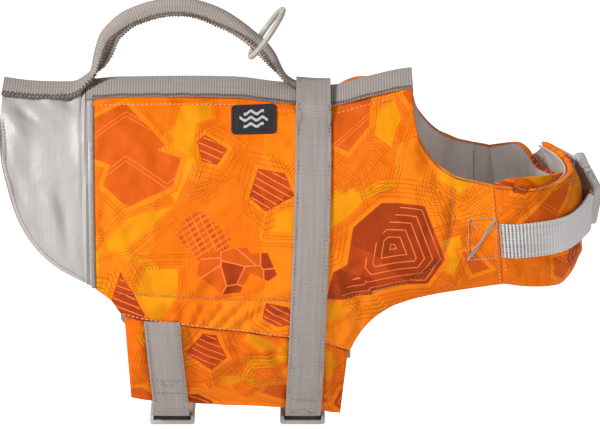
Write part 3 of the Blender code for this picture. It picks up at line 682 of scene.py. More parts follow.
def print_nylon(name, motifs, seed, painted_shade=(1.0, 1.0, 1.0)):
    """Woven polyester oxford printed with a camouflage of facets and contour lines: matt, with faint slubs."""
    made, node, shader = new_finish(name, Roughness=0.6, Sheen_Weight=0.0, Specular_IOR_Level=0.1)
    chance = np.random.default_rng(seed)
    place = node("VectorMath SCALE", node("UVMap", uv_map="cloth"), TO_MM)
    shifted = node("VectorMath ADD", place, (seed * 97.0, seed * 53.0, 0))
    inset = {kind: facets(node, place, rows, chance) for kind, rows in motifs.items() if kind != "hills"}
    hills = facets(node, kinked(node, place, FOLDS), motifs["hills"], chance)
    deep, amber, nested, striped = (inset[kind] for kind in ("deep", "amber", "nested", "striped"))
    in_deep, in_amber, in_nested, in_striped = (
        node("Math LESS_THAN", distance, 0.0) for distance in (deep, amber, nested, striped))
    patch = node("TexVoronoi 2D", shifted, 1 / 44)
    patches = node("SeparateXYZ", patch.outputs["Color"]).outputs
    broken = node("TexNoise 2D", shifted, 1 / 40, 0.0)
    ember = node("Mix RGBA", node("Math GREATER_THAN", broken, 0.56), BRICK, EMBER)
    # contour lines: bundles 2.4 mm apart round the hills, wider ones round the facets, broken off in places
    lined = node("Math MULTIPLY", rings(node, hills, -8.0, 2.4, 10), node("Math GREATER_THAN", broken, 0.4))
    for distance, start, spacing, count in (
        (deep, 4.4, 9.4, 3), (deep, 6.5, 9.4, 2), (amber, 3.0, 5.2, 2), (amber, 4.9, 5.2, 2),
        (nested, 4.0, 3.1, 5), (striped, 3.2, 3.6, 3),
    ):
        here = node("Math MAXIMUM", node("Math LESS_THAN", distance, start + 1.0),
                    node("Math GREATER_THAN", broken, 0.46))
        line = node("Math MULTIPLY", rings(node, distance, start, spacing, count), here)
        lined = node("Math MAXIMUM", lined, line)
    lined = node("Math MULTIPLY", lined, node("Math SUBTRACT", 1.0, in_amber))
    # amber shards, stopped short of the deep facets, and amber ground along the outermost hill lines
    shard = node("Math MULTIPLY", in_amber, node("Math GREATER_THAN", deep, 4.4))
    beyond = node("Math MULTIPLY", node("Math COMPARE", hills, 9.0, 4.0),
                  node("Math GREATER_THAN", patches[1], 0.55))
    closest = node("Math MINIMUM", deep, node("Math MINIMUM", nested, striped))
    # a pair of light lines folded like a V crosses each deep facet
    split = node("SeparateXYZ", place).outputs
    fold = node("Math PINGPONG", node("Math ADD", split[0], FAR_BEFORE + 12.0), 29.0)
    vee = node("Math ADD", node("Math MULTIPLY", fold, 0.72), split[1])
    pair = node("Math MAXIMUM", *(rings(node, vee, start, 34.0, 5) for start in (56.0, 59.4)))
    # the colours, from the ground up: its warmer patches come first, with straight edges
    layers = [
        (node("Math GREATER_THAN", patches[0], 0.5), BAND_ORANGE),
        (node("Math MAXIMUM", shard, beyond), AMBER),
        (node("Math LESS_THAN", closest, 3.2), BAND_ORANGE),
        (node("Math MULTIPLY", lined, 0.85), DARK_LINE),
        (in_deep, DEEP),
        (node("Math MULTIPLY", pair, node("Math LESS_THAN", deep, -0.5)), LIGHT_LINE),
    ]
    if "bars" in inset:  # a cluster of dark bars, with lighter cracks across
        bars = node("Math LESS_THAN", inset["bars"], 0.0)
        dark = node("Math MULTIPLY", bars, slanted(node, place, (0.55, 0.84), 3.9, 2.3))
        darkest = node("Math MULTIPLY", dark, slanted(node, place, (0.84, -0.55), 11.0, 4.2))
        cracks = node("Math MULTIPLY", bars, slanted(node, place, (0.9, -0.43), 5.2, 0.6))
        layers += [(dark, DEEP), (node("Math MULTIPLY", darkest, 0.7), EMBER), (cracks, LIGHT_LINE)]
    if "cells" in inset:  # deep facets set close together like dried mud, a few of them brick
        cells = node("Math LESS_THAN", inset["cells"], 0.0)
        cell = node("TexVoronoi 2D", shifted, 1 / 15)
        brick = node("Math GREATER_THAN", node("SeparateXYZ", cell.outputs["Color"]), 0.68)
        gap = node("TexVoronoi 2D", shifted, 1 / 15, feature="DISTANCE_TO_EDGE")
        gap = node("Math MULTIPLY", cells, node("Math LESS_THAN", gap, 0.034))
        layers += [(cells, node("Mix RGBA", brick, DEEP, ember)), (gap, LIGHT_LINE)]
    # stones: nested rings in some, with the biggest left plain at its rear upper side, and rows in others
    lower_front = node("VectorMath DOT_PRODUCT", place, (0.8, 0.6, 0))
    inner = node("Math MULTIPLY", rings(node, nested, -29.2, 5.2, 6, 0.75),
                 node("Math GREATER_THAN", lower_front, 176.0))
    rows = node("Math MULTIPLY", node("Math LESS_THAN", striped, -0.8),
                slanted(node, place, (0.42, -0.91), 4.8, 0.8))
    layers += [(in_nested, ember), (inner, LIGHT_LINE), (in_striped, ember), (rows, LIGHT_LINE)]
    colour = ORANGE
    for mask, paint in layers:
        colour = node("Mix RGBA", mask, colour, paint)
    # thread: 0.5 mm pitch is too fine to show, so the lengthwise slubs are drawn 1.3 mm apart and 16 mm long
    slub = node("Mapping", place, None, None, (1 / 1.3, 1 / 16, 1))
    thread = node("TexNoise 2D", slub, 1.0, 2.0)
    # painted shade: the print's colour is multiplied by this tint, darker and redder on the belly flaps
    shade = node("VectorMath SCALE", painted_shade, node("MapRange", thread, 0.3, 0.7, 0.95, 1.02))
    crinkle = node("TexNoise 2D", place, 1 / 19, 1.0)
    rough = node("Bump", 1.0, 4.2 * MM, None, crinkle)
    shader(Base_Color=node("Mix RGBA", 1.0, colour, shade, blend_type="MULTIPLY"),
           Normal=node("Bump", 0.25, 0.12 * MM, None, weave_height(node, place, 1.1), rough))
    return made


def plain_cloth(name, light, dark, rough, pitch, streak, sheen=0.0, crease=0.2):
    """Plain woven or knitted cloth: two tones in soft streaks, with a weave."""
    made, node, shader = new_finish(name, Roughness=rough, Sheen_Weight=sheen, Sheen_Roughness=0.4)
    place = node("VectorMath SCALE", node("UVMap", uv_map="cloth"), TO_MM)
    drawn = node("Mapping", place, None, None, (1 / streak[0], 1 / streak[1], 1))
    tone = node("MapRange", node("TexNoise 2D", drawn, 1.0, 3.0), 0.3, 0.7)
    soft = node("Bump", crease, 1.2 * MM, None, node("TexNoise 2D", place, 1 / 11, 2.0))
    shader(Base_Color=node("Mix RGBA", tone, linear(dark), linear(light)),
           Normal=node("Bump", 0.25, 0.15 * MM, None, weave_height(node, place, pitch), soft))
    return made


def webbing(name, light, dark, ribs, cross, knitted=0.45, speck=0.3, bump=0.5, fade=None, edges=None):
    """Nylon webbing, matt and mottled by its knit. Its UV map runs along the strap and then across it. It can
    fade to its light tone along its length, as painted light, and have a dotted line of thread near each edge."""
    made, node, shader = new_finish(name, Roughness=0.72, Sheen_Weight=0.06, Sheen_Roughness=0.5)
    place = node("VectorMath SCALE", node("UVMap", uv_map="cloth"), TO_MM)
    split = node("SeparateXYZ", place).outputs
    rib, knit = (node("Math COSINE", node("Math MULTIPLY", split[k], 2 * math.pi / pitch))
                 for k, pitch in ((0, ribs), (1, cross)))
    both = node("Math MULTIPLY_ADD", knit, knitted, rib)
    mottled = node("MapRange", both, -1.2, 0.9)
    streaks = node("Mapping", place, None, None, (1 / 45, 1 / 2.4, 1))
    for where, scale, detail, share in ((place, 1 / 1.6, 2.0, 2), (streaks, 1.0, 1.0, 4)):
        noise = node("TexNoise 2D", where, scale, detail)
        mottled = node("Math MULTIPLY_ADD", node("Math SUBTRACT", noise, 0.5), share * speck, mottled)
    # painted highlight: the webbing grows toward its light tone along its length, where the strap turns to the
    # light
    if fade:
        mottled = node("Mix FLOAT", node("MapRange", split[0], *fade, None, 0.85), mottled, 1.0)
    if edges:
        off = node("Math ABSOLUTE", node("Math SUBTRACT", node("Math ABSOLUTE", split[1]), edges))
        dots = node("Math LESS_THAN", node("Math FRACT", node("Math DIVIDE", split[0], 3.0)), 0.6)
        line = node("Math MULTIPLY", node("Math LESS_THAN", off, 0.45), dots)
        mottled = node("Math SUBTRACT", mottled, node("Math MULTIPLY", line, 0.7))
    shader(Base_Color=node("Mix RGBA", node("Clamp", mottled), linear(dark), linear(light)),
           Normal=node("Bump", bump, 0.25 * MM, None, both))
    return made


def moulded(name, light, dark, rough, grit, specular=0.4):
    """Moulded plastic or rubber: a fine spark-eroded grain that breaks up its gloss."""
    made, node, shader = new_finish(name, Specular_IOR_Level=specular)
    place = node("TexCoord").outputs["Object"]
    grain = node("TexNoise", place, TO_MM / grit, 2.0)
    tone = node("MapRange", node("TexNoise", place, TO_MM / 18.0, 2.0), 0.3, 0.7)
    shader(Base_Color=node("Mix RGBA", tone, linear(dark), linear(light)),
           Roughness=node("MapRange", grain, 0.3, 0.7, rough - 0.06, rough + 0.06),
           Normal=node("Bump", 0.15, 0.1 * MM, None, grain))
    return made


def thread_finish(name, code):
    """Spun polyester sewing thread: matt, with a slightly darker twist every 0.9 mm."""
    made, node, shader = new_finish(name, Roughness=0.75)
    twist = node("TexNoise", node("TexCoord").outputs["Object"], TO_MM / 0.9, 0.0)
    shade = node("MapRange", twist, 0.3, 0.7, 0.85, 1.05)
    shader(Base_Color=node("Mix RGBA", 1.0, linear(code), shade, blend_type="MULTIPLY"))
    return made


PRINT = {RIGHT: print_nylon("printed_nylon_right", MOTIFS_RIGHT, 5),
         LEFT: print_nylon("printed_nylon_left", MOTIFS_LEFT, 9)}
# painted shade: the belly's copy of the print is darker and redder, as the underside lies in shade
PRINT_BELLY = print_nylon("printed_nylon_belly", MOTIFS_BELLY, 3, painted_shade=(0.93, 0.84, 0.7))
PRINT_CHEST = print_nylon("printed_nylon_chest", MOTIFS_CHEST, 12)
SILVER = plain_cloth("coated_nylon_silver", "B7B2AF", "B1ACA9", 0.36, 1.0, (1.6, 26), crease=0.45)
LINING_CLOTH = plain_cloth("knitted_lining_grey", "BFB4AF", "A4988F", 0.7, 1.2, (15, 70), crease=0.3)
# painted light: the chest's lining is the body's knitted lining drawn lighter, where it lies in shade inside
# the flaps
CHEST_LINING_PAINTED_LIGHT = plain_cloth("knitted_lining_painted_light", "C4BDB8", "B2AAA4", 0.6, 1.0, (15, 70))
PIPING_CLOTH = plain_cloth("piping_nylon_taupe", "9B948E", "827B75", 0.5, 1.0, (3, 3), sheen=0.1)
RIBBED = webbing("ribbed_webbing_grey", "A89D96", "8B8079", 1.9, 1.3, knitted=0.3, speck=0.15, bump=0.3)
STRAP_WEB = webbing("strap_webbing_grey", "A59A96", "8F8581", 1.5, 1.5, knitted=0.1, bump=0.35, edges=9.4)
# painted light: the chest strap grows lighter from 4 to 46 mm along it, away from its sewn end, as it rounds
# the chest
BRIGHT_RIB = webbing("chest_webbing_grey", "E0DCDA", "625D5A", 2.5, 1.7, knitted=0.35, speck=0.15,
                     fade=(4, 46))
HANDLE_BACK = webbing("handle_webbing_brown", "BCAA98", "6A5B50", 2.6, 2.2, speck=1.2)
ACETAL = moulded("moulded_acetal_grey", "BDB7B0", "AFA9A2", 0.42, 0.7)
# painted shade: a near-black finish for the block that fills the belly buckles' slots
SLOT_SHADE = moulded("moulded_acetal_shadow", "4A3E3A", "3A302D", 0.6, 0.7)
RUBBER = moulded("moulded_rubber_black", "343033", "2A272A", 0.62, 0.5, specular=0.3)
RUBBER_PRINT = moulded("moulded_rubber_grey", "C9C7C8", "BDBABB", 0.6, 0.5, specular=0.3)
PEACH = thread_finish("thread_peach", "E8A878")
GREY = thread_finish("thread_grey", "BFA694")
DARK = thread_finish("thread_brown", "5E5049")
OVERLOCK = thread_finish("thread_dark_taupe", "6F645D")
MID = thread_finish("thread_taupe", "987F6C")


# ---------------------------------------------------------------- cloth
TUCK = 0.9  # sewn edges run this far under their seam, so that no light shows between them
CREASE_HEIGHT = 2.2
CUSHION_ROUNDING = 2.0
THIN_ROUNDING = 0.8
LINING_SEAM = 191.5
FOAM_STITCH = ((-61, -140.6), (-31, -141), (6, -142), (60, -142.5), (89, -142), (118, -138.5), (133.5, -135),
               (143, -132), (161, -122.5), (167, -113), (172, -98), (173, -82), (175, -66))


def off_strap(line, station, drop):
    """Distance from the middle of a strap that runs down the body."""
    return np.abs(station - read(line, ridge(station) - drop * drop - BAND_TOP))


def side_relief(side, station, drop, hem_gap):
    """How far the side panel stands off its plain form: the sewn channel, its puckers and the creases."""
    u, v = station, arc(station, drop)
    corners = np.array([(s, flat_arc(s, h)) for s, h in FOAM_STITCH])
    run = lengths(corners)
    channel, _ = distance_to(smooth(run, corners, np.linspace(0, run[-1], int(run[-1] / 6.0) + 1)), u, v)
    relief = -1.5 * mound(channel, 2.2) - 0.5 * mound(channel, 7.0)
    # puckers lean forward as they go down, and die away before the leg
    phase = 0.0 if side == RIGHT else 2.4
    lean = u + (0.55 + 0.5 * np.sin(u / 29 + phase)) * (v - flat_arc(0, -150.0))
    wave = np.sin(2 * np.pi * lean / 16 + 2.6 * np.sin(lean / 19 + phase) + 0.8 * np.sin(v / 5 + u / 26))
    wave += 0.35 * np.sin(2 * np.pi * (u - 0.4 * v) / 9 + 2.4 * np.sin(u / 13 + phase))
    uneven = 0.6 + 0.4 * np.sin(u / 23 + 1 + 2 * phase)
    low = flat_arc(0, -141.5)
    below = ease(low - 5, low + 6, v) * (1 - ease(104, 124, u)) * rounded(hem_gap, 9.0)
    relief += 1.35 * wave * uneven * below * (1 - mound(channel, 3.0))
    above = ease(low - 26, low - 6, v) * (1 - ease(low - 4, low + 2, v)) * (1 - ease(96, 110, u))
    relief += 0.8 * np.sin(2 * np.pi * lean / 19 + 2.3 * np.sin(u / 21 + phase)) * uneven * above
    relief += CREASE_HEIGHT * creases(u, v, CREASES[side])
    # the chest strap's box stitch and the girth strap press it flat
    box_top, box_low = (flat_arc(194.0, height) for height in (-84.0, -122.0))
    boxed = ease(176, 182, u) * (1 - ease(box_low, box_low + 5, v)) * ease(box_top - 5, box_top, v)
    relief = relief * (1 - 0.95 * boxed)
    free = ease(12.0, 17.0, off_strap(GIRTH_LINE, station, drop))
    return np.minimum(relief, 0.1) * (1 - free) * 0.6 + relief * free


CREASES = {
    # start along the back, start down, end along, end down, width, depth
    RIGHT: (
        (-72, 118, -60, 150, 3.5, -0.9), (-64, 112, -50, 148, 4, 0.8), (-40, 150, -34, 172, 3.5, -0.7),
        (150, 66, 166, 96, 4, -1.0), (158, 62, 178, 88, 5, 0.9), (150, 110, 164, 128, 4, -0.8),
        (174, 92, 192, 86, 3.5, -0.9), (176, 104, 190, 106, 3, 0.6), (172, 118, 188, 128, 4, -0.8),
        (178, 138, 196, 146, 4, 0.8), (128, 24, 140, 52, 5, -0.7), (132, 60, 150, 92, 6, 0.7),
        (98, 150, 110, 176, 3.5, -0.9), (90, 146, 96, 168, 3, 0.7), (104, 158, 118, 168, 3, -0.6),
        (-20, 22, 30, 28, 6, -0.35), (96, 18, 126, 26, 5, -0.5),
    ),
    LEFT: (
        (-70, 112, -56, 150, 4, -0.9), (-60, 116, -44, 150, 4, 0.7), (150, 60, 168, 92, 4, -1.0),
        (160, 64, 180, 92, 5, 0.8), (148, 112, 166, 124, 4, -0.7), (176, 90, 194, 92, 3.5, -0.8),
        (172, 116, 190, 130, 4, -0.8), (130, 26, 142, 56, 5, -0.7), (98, 150, 108, 174, 3.5, -0.8),
        (20, 120, 34, 160, 6, 0.6), (-20, 30, 26, 24, 6, -0.35), (94, 15, 116, 17, 7, 2.0),
    ),
}
SILVER_CREASES = (
    (-140, 30, -126, 56, 6, 1.0), (-132, 26, -118, 40, 4, -0.8), (-124, 50, -121, 84, 7, -0.7),
    (-110, 92, -100, 132, 5, 1.1), (-102, 88, -93, 128, 4, -1.1), (-134, 78, -126, 100, 4, -0.8),
    (-90, 20, -86, 70, 4, 0.7), (-96, 110, -88, 140, 4, 0.9), (-120, 108, -108, 124, 4, -0.7),
    (-100, 14, -92, 30, 4, -0.9), (-116, 12, -106, 26, 3.5, 0.7), (-143, 40, -138, 70, 4, -0.7),
)
BELLY_CREASES = (
    (-48, 200, -44, 236, 4, 0.9), (-38, 198, -36, 240, 3, -0.7), (-14, 196, -8, 214, 3, -0.9),
    (-2, 200, 6, 244, 5, 0.5), (16, 198, 28, 232, 4, -0.7), (34, 200, 52, 226, 4, 0.8),
    (48, 202, 58, 250, 4, -0.8), (86, 210, 88, 262, 4, 0.9), (94, 214, 92, 250, 3, -0.9),
    (20, 238, 44, 246, 4, -0.5), (-30, 240, 10, 250, 4, 0.5), (8, 204, 20, 212, 3, 0.7),
)


def nearest_edge(*gaps):
    return np.minimum.reduce(gaps)


def side_panels():
    """Foam panels under printed nylon, rounded over at their cut edges, pulled in along a sewn channel."""
    rear_top, *others, front = SIDE_PANEL_LINES
    first_cut = (rear_top[0] - TUCK, rear_top[1], rear_top[2] - TUCK, rear_top[3])
    last_cut = (front[0] + TUCK, front[1], front[2] + TUCK, front[3])
    for label, side in SIDES:
        station, drop, _, (first, last, top, bottom) = panel(side, (first_cut, *others, last_cut), 212, 114)
        neck = ease(143.0, 147.5, station[:, :1])
        edge = rounded(first, 3.0) * rounded(last, 3.5) * rounded(bottom, 4.0)
        sunk = (1 - edge * (1 - neck * (1 - rounded(top, 3.5)))) * CUSHION_ROUNDING
        relief = side_relief(side, station, drop, bottom) * rounded(bottom, 5.0)
        made = body_wall(f"foam_panel_{label}", side, station, drop, relief - sunk, sunk - PANEL,
                         PRINT[side])
        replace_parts(made, f"side_panel_{label}")


def rear_panels():
    """Silver nylon over the rump, creased where it is sewn to the spine and folded under at the piping."""
    *others, front = REAR_PANEL_LINES
    front = (front[0] + 2 * TUCK, front[1], front[2] + 2 * TUCK, front[3])
    for label, side in SIDES:
        u, drop, v, (first, last, _, bottom) = panel(side, (*others, front), 84, 120)
        shift = 0.0 if side == RIGHT else 9.0
        relief = 2.3 * creases(u + shift * 0.4, v + shift, SILVER_CREASES)
        relief += 0.5 * ripple(u, 17, 1.3, 9) * ease(30, 10, v) * ease(4, 12, v)
        fold = 0.9 * mound(last - 5.2, 1.2) - 1.3 * mound(last - 7.6, 0.6) - 1.3 * mound(last - 3.4, 0.6)
        free = nearest_edge(bottom, first)
        hem = 0.45 * mound(free, 1.4) - 0.3 * mound(free - 3.0, 0.8)
        relief = relief * rounded(nearest_edge(last, bottom), 8.0) + fold + hem
        sunk = (1 - rounded(nearest_edge(first, last, bottom), 1.2)) * THIN_ROUNDING
        made = body_wall(f"rump_panel_{label}", side, u, drop, relief - sunk,
                         relief * 0.9 - THIN_PANEL + sunk, SILVER)
        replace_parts(made, f"rear_panel_{label}")


def belly_flaps():
    """Thin printed flaps that hang from the belly seam, rippled by the straps sewn across them."""
    for label, side in SIDES:
        u, drop, v, (first, last, top, bottom) = panel(side, BELLY_FLAP_LINES, 150, 70)
        relief = CREASE_HEIGHT * creases(u, v if side == RIGHT else v + 4, BELLY_CREASES)
        relief += 0.45 * ripple(u, 16, 1.7, 13) * (1 - ease(2, 26, top))
        for line in (GIRTH_LINE, REAR_LINE):
            relief = np.where(relief > 0, relief * ease(11.0, 16.0, off_strap(line, u, drop)), relief)
        hem = -0.35 * mound(bottom - 4.0, 0.9) + 0.25 * mound(bottom, 1.4)
        sunk = (1 - rounded(nearest_edge(first, last, bottom), 1.2)) * THIN_ROUNDING
        lift = -FLAP_SET_IN + relief + hem
        made = body_wall(f"belly_cloth_{label}", side, u, drop, lift - sunk, lift - THIN_PANEL + sunk,
                         PRINT_BELLY)
        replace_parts(made, f"belly_flap_{label}")


def belly_tapes():
    """Ribbed tape bound over the belly seam, seen at both its ends."""
    ends = ((-60.0, -155.0), *[line[:2] for line in BELLY_FLAP_LINES], (103.5, -183.0))
    lines = [(s, h + 6.0, s, h - 7.0) for s, h in ends]
    for label, side in SIDES:
        station, drop, _, (first, _, top, _) = panel(side, lines, 170, 8)
        outer = on_body(side, station, drop, -TAPE_SET_IN + 0.12 * np.cos(2 * np.pi * top / 2.4))
        inner = on_body(side, station, drop, -TAPE_SET_IN - TAPE)
        made = wall(f"seam_tape_{label}", outer, inner, np.stack([first, top], -1), STRAP_WEB)
        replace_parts(made, f"belly_tape_{label}")


def linings():
    """Knitted lining that shows inside, with slack vertical folds and a seam where the chest begins."""
    top_s, top_h, low_s, low_h = SIDE_PANEL_LINES[-1]
    lines = (*SIDE_PANEL_LINES[:-1], (top_s + TUCK, top_h, low_s + TUCK, low_h))
    lines = tuple((a, b, c, d + LINING_ABOVE_HEM) for a, b, c, d in lines)
    for label, side in SIDES:
        u, drop, _, (_, last, top, bottom) = panel(side, lines, 150, 80)
        wave = ripple(u, 21, 1.6, 14) * (0.5 + 0.5 * np.sin(u / 31 + 1))
        relief = 0.5 * wave * rounded(nearest_edge(top, bottom, last), 14.0)
        seam = mound(u - LINING_SEAM, 1.0)
        base = -PANEL - LINING_CLEAR
        made = body_wall(f"body_lining_{label}", side, u, drop, base - 0.05 * seam,
                         base - LINING - 0.5 - relief + 0.7 * seam, LINING_CLOTH)
        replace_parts(made, f"lining_side_{label}")


def chest_grid(lines, columns, rows):
    """A chest flap's points and normals, how far it is set in, its heights, and distances from its edges."""
    angles = np.array([line[0] for line in lines], float)
    turn = 1 if angles[-1] > angles[0] else -1
    places = angles * turn
    at = np.linspace(places[0], places[-1], columns + 1)
    top, low, set_in = (along(places, [line[k] for line in lines], at)[:, None] for k in (1, 2, 3))
    height = top + (low - top) * np.linspace(0, 1, rows + 1)[None, :]
    points, normals = lifted(chest, np.broadcast_to((at * turn)[:, None], height.shape), height, 0.0)
    return points, normals, np.broadcast_to(set_in, height.shape), height, from_edges(points)


CHEST_CREASES = (
    # round the chest from its seam, down, end, end, width, depth
    (218, 88, 236, 102, 3, -0.9), (226, 120, 244, 132, 4, 0.6), (244, 84, 256, 100, 4, 0.9),
    (236, 150, 262, 158, 4, -0.7), (262, 86, 280, 96, 4, -1.0), (216, 146, 226, 164, 3, -0.8),
    (252, 118, 280, 128, 5, -0.5), (284, 90, 300, 112, 4, 0.8), (300, 130, 330, 150, 5, -0.7),
    (320, 96, 350, 104, 4, 0.7), (270, 142, 296, 162, 4, 0.8), (340, 120, 362, 146, 5, -0.7),
)


def chest_flaps():
    """Foam flaps across the chest: the right one lies over the left."""
    for label, toward, lines, strap_height, cut, area in (
        ("right", 1, OUTER_FLAP_LINES, -103.5, (0.146, 0.088), 0.0099),
        ("left", -1, INNER_FLAP_LINES, -90, (0.190, 0.088), 0.0112),
    ):
        tucked = ((lines[0][0] - TUCK * toward, *lines[0][1:]), *lines[1:])
        points, normals, set_in, height, (first, last, top, bottom) = chest_grid(tucked, 170, 72)
        u = 209.0 + first if label == "right" else 420.0 - first
        seam = chest_seam(height)
        v = arc(seam, drop_at(seam, height))
        edge = rounded(first, 3.5) * rounded(last, 3.5) * rounded(top, 3.5) * rounded(bottom, 3.5)
        relief = CREASE_HEIGHT * creases(u, v, CHEST_CREASES) * rounded(nearest_edge(top, bottom), 6.0)
        relief += 0.4 * ripple(v, 15, 1.5, 8) * (1 - ease(3, 22, first)) * ease(0, 4, first)
        relief = np.where(relief > 0, relief * ease(11.0, 17.0, np.abs(height - strap_height)), relief)
        if label == "left":
            relief = relief * ease(0.0, 12.0, first) * 0.4
        outer = points + normals * (relief - set_in - (1 - edge) * 2.2)[..., None]
        inner = points + normals * (-PANEL - set_in + (1 - edge) * 1.6)[..., None]
        made = wall(f"chest_foam_{label}", outer, inner, np.stack([u, v], -1), PRINT_CHEST)
        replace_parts(made, f"chest_flap_{label}")
        own = ((lines[0][0] + 0.3 * toward, *lines[0][1:]), *lines[1:])
        points, normals, set_in, _, (first, _, top, bottom) = chest_grid(own, 110, 46)
        base = -PANEL - SEAM_GAP - 0.1 - set_in
        slack = 0.35 * ripple(first, 23, 1, 11) * rounded(nearest_edge(top, bottom), 12.0)
        outer = points + normals * base[..., None]
        inner = points + normals * (base - LINING - 0.2 - slack)[..., None]
        flat = np.stack([first, top], -1)
        made = wall(f"chest_lining_{label}", outer, inner, flat, CHEST_LINING_PAINTED_LIGHT)
        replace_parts(made, f"lining_chest_{label}")


# ---------------------------------------------------------------- webbing
RIB = 1.9
CHEST_RIB = 2.5
CHEST_RIB_LIFT = 0.28
STRAP_ACROSS = np.linspace(-STRAP_WIDTH / 2, STRAP_WIDTH / 2, 31)
STRAP_TOPS = {}  # each strap's top face, its normals and its lengths
PIPING_SIZE = 1.55
PIPING_TURNS = 10


def spine_band():
    """Ribbed webbing folded over the spine seam. Its ribs fade where it is pressed flat towards the neck."""
    station, reach = np.meshgrid(np.linspace(-83.4, 145.6, 400), np.linspace(-1, 1, 23), indexing="ij")
    side_reach = np.abs(reach)
    right, left = (laid_on_body(side, station, side_reach * BAND_DROP, 0.0) for _, side in SIDES)
    points, normals = (np.where((reach > 0)[..., None], far, near) for near, far in zip(right, left))
    normals[side_reach < 0.02] = (0, 0, 1)
    ribs = 0.13 * np.cos(2 * np.pi * station / RIB) * (1 - 0.75 * ease(98, 116, station))
    ribs = ribs * (1 - 0.6 * ease(0.9, 1.0, side_reach))
    outer = points + normals * (SEAM_GAP + WEBBING - 0.1 + ribs)[..., None]
    outer[..., 2] += 0.16 * ripple(station, RIB, 2, 3.1) * ease(0.86, 1.0, side_reach)  # frayed edges
    flat = np.stack([station, reach * 26], -1)
    made = wall("spine_webbing", outer, points + normals * SEAM_GAP, flat, RIBBED, sharp=70)
    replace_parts(made, "spine_band")


def handle_line():
    middles = []
    for station, height, *_ in HANDLE_SECTIONS:
        if height is ON_RIDGE:
            height = float(ridge(station)) + (HANDLE_ON_REAR if station < 0 else HANDLE_ON_BAND) - BAND_TOP
        middles.append((station, height + BAND_TOP))
    return np.array(middles)


def handle_grid(step, rows):
    """The handle's middle surface, its normals, and how far along it runs."""
    middles = handle_line()
    run = lengths(middles)
    at = np.linspace(0, run[-1], int(run[-1] / step) + 1)
    x, z = smooth(run, middles, at).T
    spread, right, left, fold = (smooth(run, np.array([section[2:] for section in HANDLE_SECTIONS]), at)
                                 .T[..., None])
    ahead = unit(np.stack([np.gradient(x), np.gradient(z)], -1))
    across = np.linspace(-1, 1, rows)[None, :]
    reach = np.abs(across)
    sideways = np.sign(across) * spread * (1 - (1 - reach) ** (1 + 2 * fold))
    down = -np.where(across < 0, right, left) * reach ** (2 - 0.7 * fold)
    points = np.stack([x[:, None] - ahead[:, 1:] * down, sideways, z[:, None] + ahead[:, :1] * down], -1)
    normals = grid_normals(points)
    up = np.stack([-ahead[:, 1], 0 * x, ahead[:, 0]], -1)
    return points, normals if np.sum(normals[:, rows // 2] * up) > 0 else -normals, at


def handle():
    """Ribbed webbing, flat along the rump and over the foot, folded lengthwise into the grip between."""
    points, normals, at = handle_grid(0.6, 25)
    across = np.linspace(-1, 1, 25)[None, :]
    reach = np.abs(across)
    ribs = 0.12 * np.cos(2 * np.pi * at / RIB)[:, None] * (1 - 0.4 * ease(0.9, 1.0, reach))
    outer = points + normals * (WEBBING / 2 - 0.05 + ribs)[..., None]
    inner = points - normals * (WEBBING / 2 - 0.05 + ribs * 0.5)[..., None]
    outer[..., 2] += 0.22 * ripple(at, RIB, 1.5, 2.7)[:, None] * ease(0.86, 1.0, reach)  # frayed edges
    flat = np.stack(np.broadcast_arrays(at[:, None], across * 19), -1)
    made = wall("handle_webbing", outer, inner, flat, RIBBED, 70, inner_finish=HANDLE_BACK)
    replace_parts(made, "handle")


def down_rows(label, side, line, top_height):
    """The lower face of a strap that runs down the body, from the ridge or a height, and under the belly."""
    over_band = top_height is ON_RIDGE
    top = 0.0 if over_band else float(drop_at(float(read(line, top_height)), top_height))
    bottom = float(drop_at(float(read(line, HEM_HEIGHT)), HEM_HEIGHT))
    rows = []
    for drop in np.linspace(top, bottom, 60 if over_band else 24):
        height = float(ridge(76.0)) - drop * drop - BAND_TOP
        clear = STRAP_CLEAR
        if over_band:
            clear = STRAP_OVER_BAND + (STRAP_CLEAR - STRAP_OVER_BAND) * float(ease(*BAND_CLEARED, drop))
        rows.append(on_body(side, float(read(line, height)) + STRAP_ACROSS, drop, clear))
    for half, height in UNDER_BELLY[label]:
        x = float(read(line, height)) + STRAP_ACROSS
        rows.append(np.stack([x, np.full(len(x), side * half), np.full(len(x), height + BAND_TOP)], -1))
    return np.array(rows)


def strap(name, rows, finish, node, rib_lift=0.0):
    """A strap with a woven selvedge down each side."""
    run = lengths(rows[:, len(STRAP_ACROSS) // 2])
    at = np.linspace(0, run[-1], int(run[-1] / (0.62 if rib_lift else 1.6)) + 1)
    points = smooth(run, rows.reshape(len(rows), -1), at).reshape(len(at), -1, 3)
    normals = outward(grid_normals(points), points)
    reach = np.abs(STRAP_ACROSS)[None, :] / (STRAP_WIDTH / 2)
    groove = -0.32 * mound(reach - 0.82, 0.045) - 0.2 * ease(0.93, 1.0, reach)
    ribs = rib_lift * (1 - 0.8 * ease(8, 44, at))[:, None] * np.cos(2 * np.pi * at / CHEST_RIB)[:, None]
    outer = points + normals * (WEBBING + groove + ribs * (reach < 0.97))[..., None]
    place = np.stack(np.broadcast_arrays(at[:, None], STRAP_ACROSS[None, :]), -1)
    made = wall(name, outer, points, place, finish, sharp=60)
    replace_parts(made, node)
    STRAP_TOPS[node] = points + normals * WEBBING, normals, at


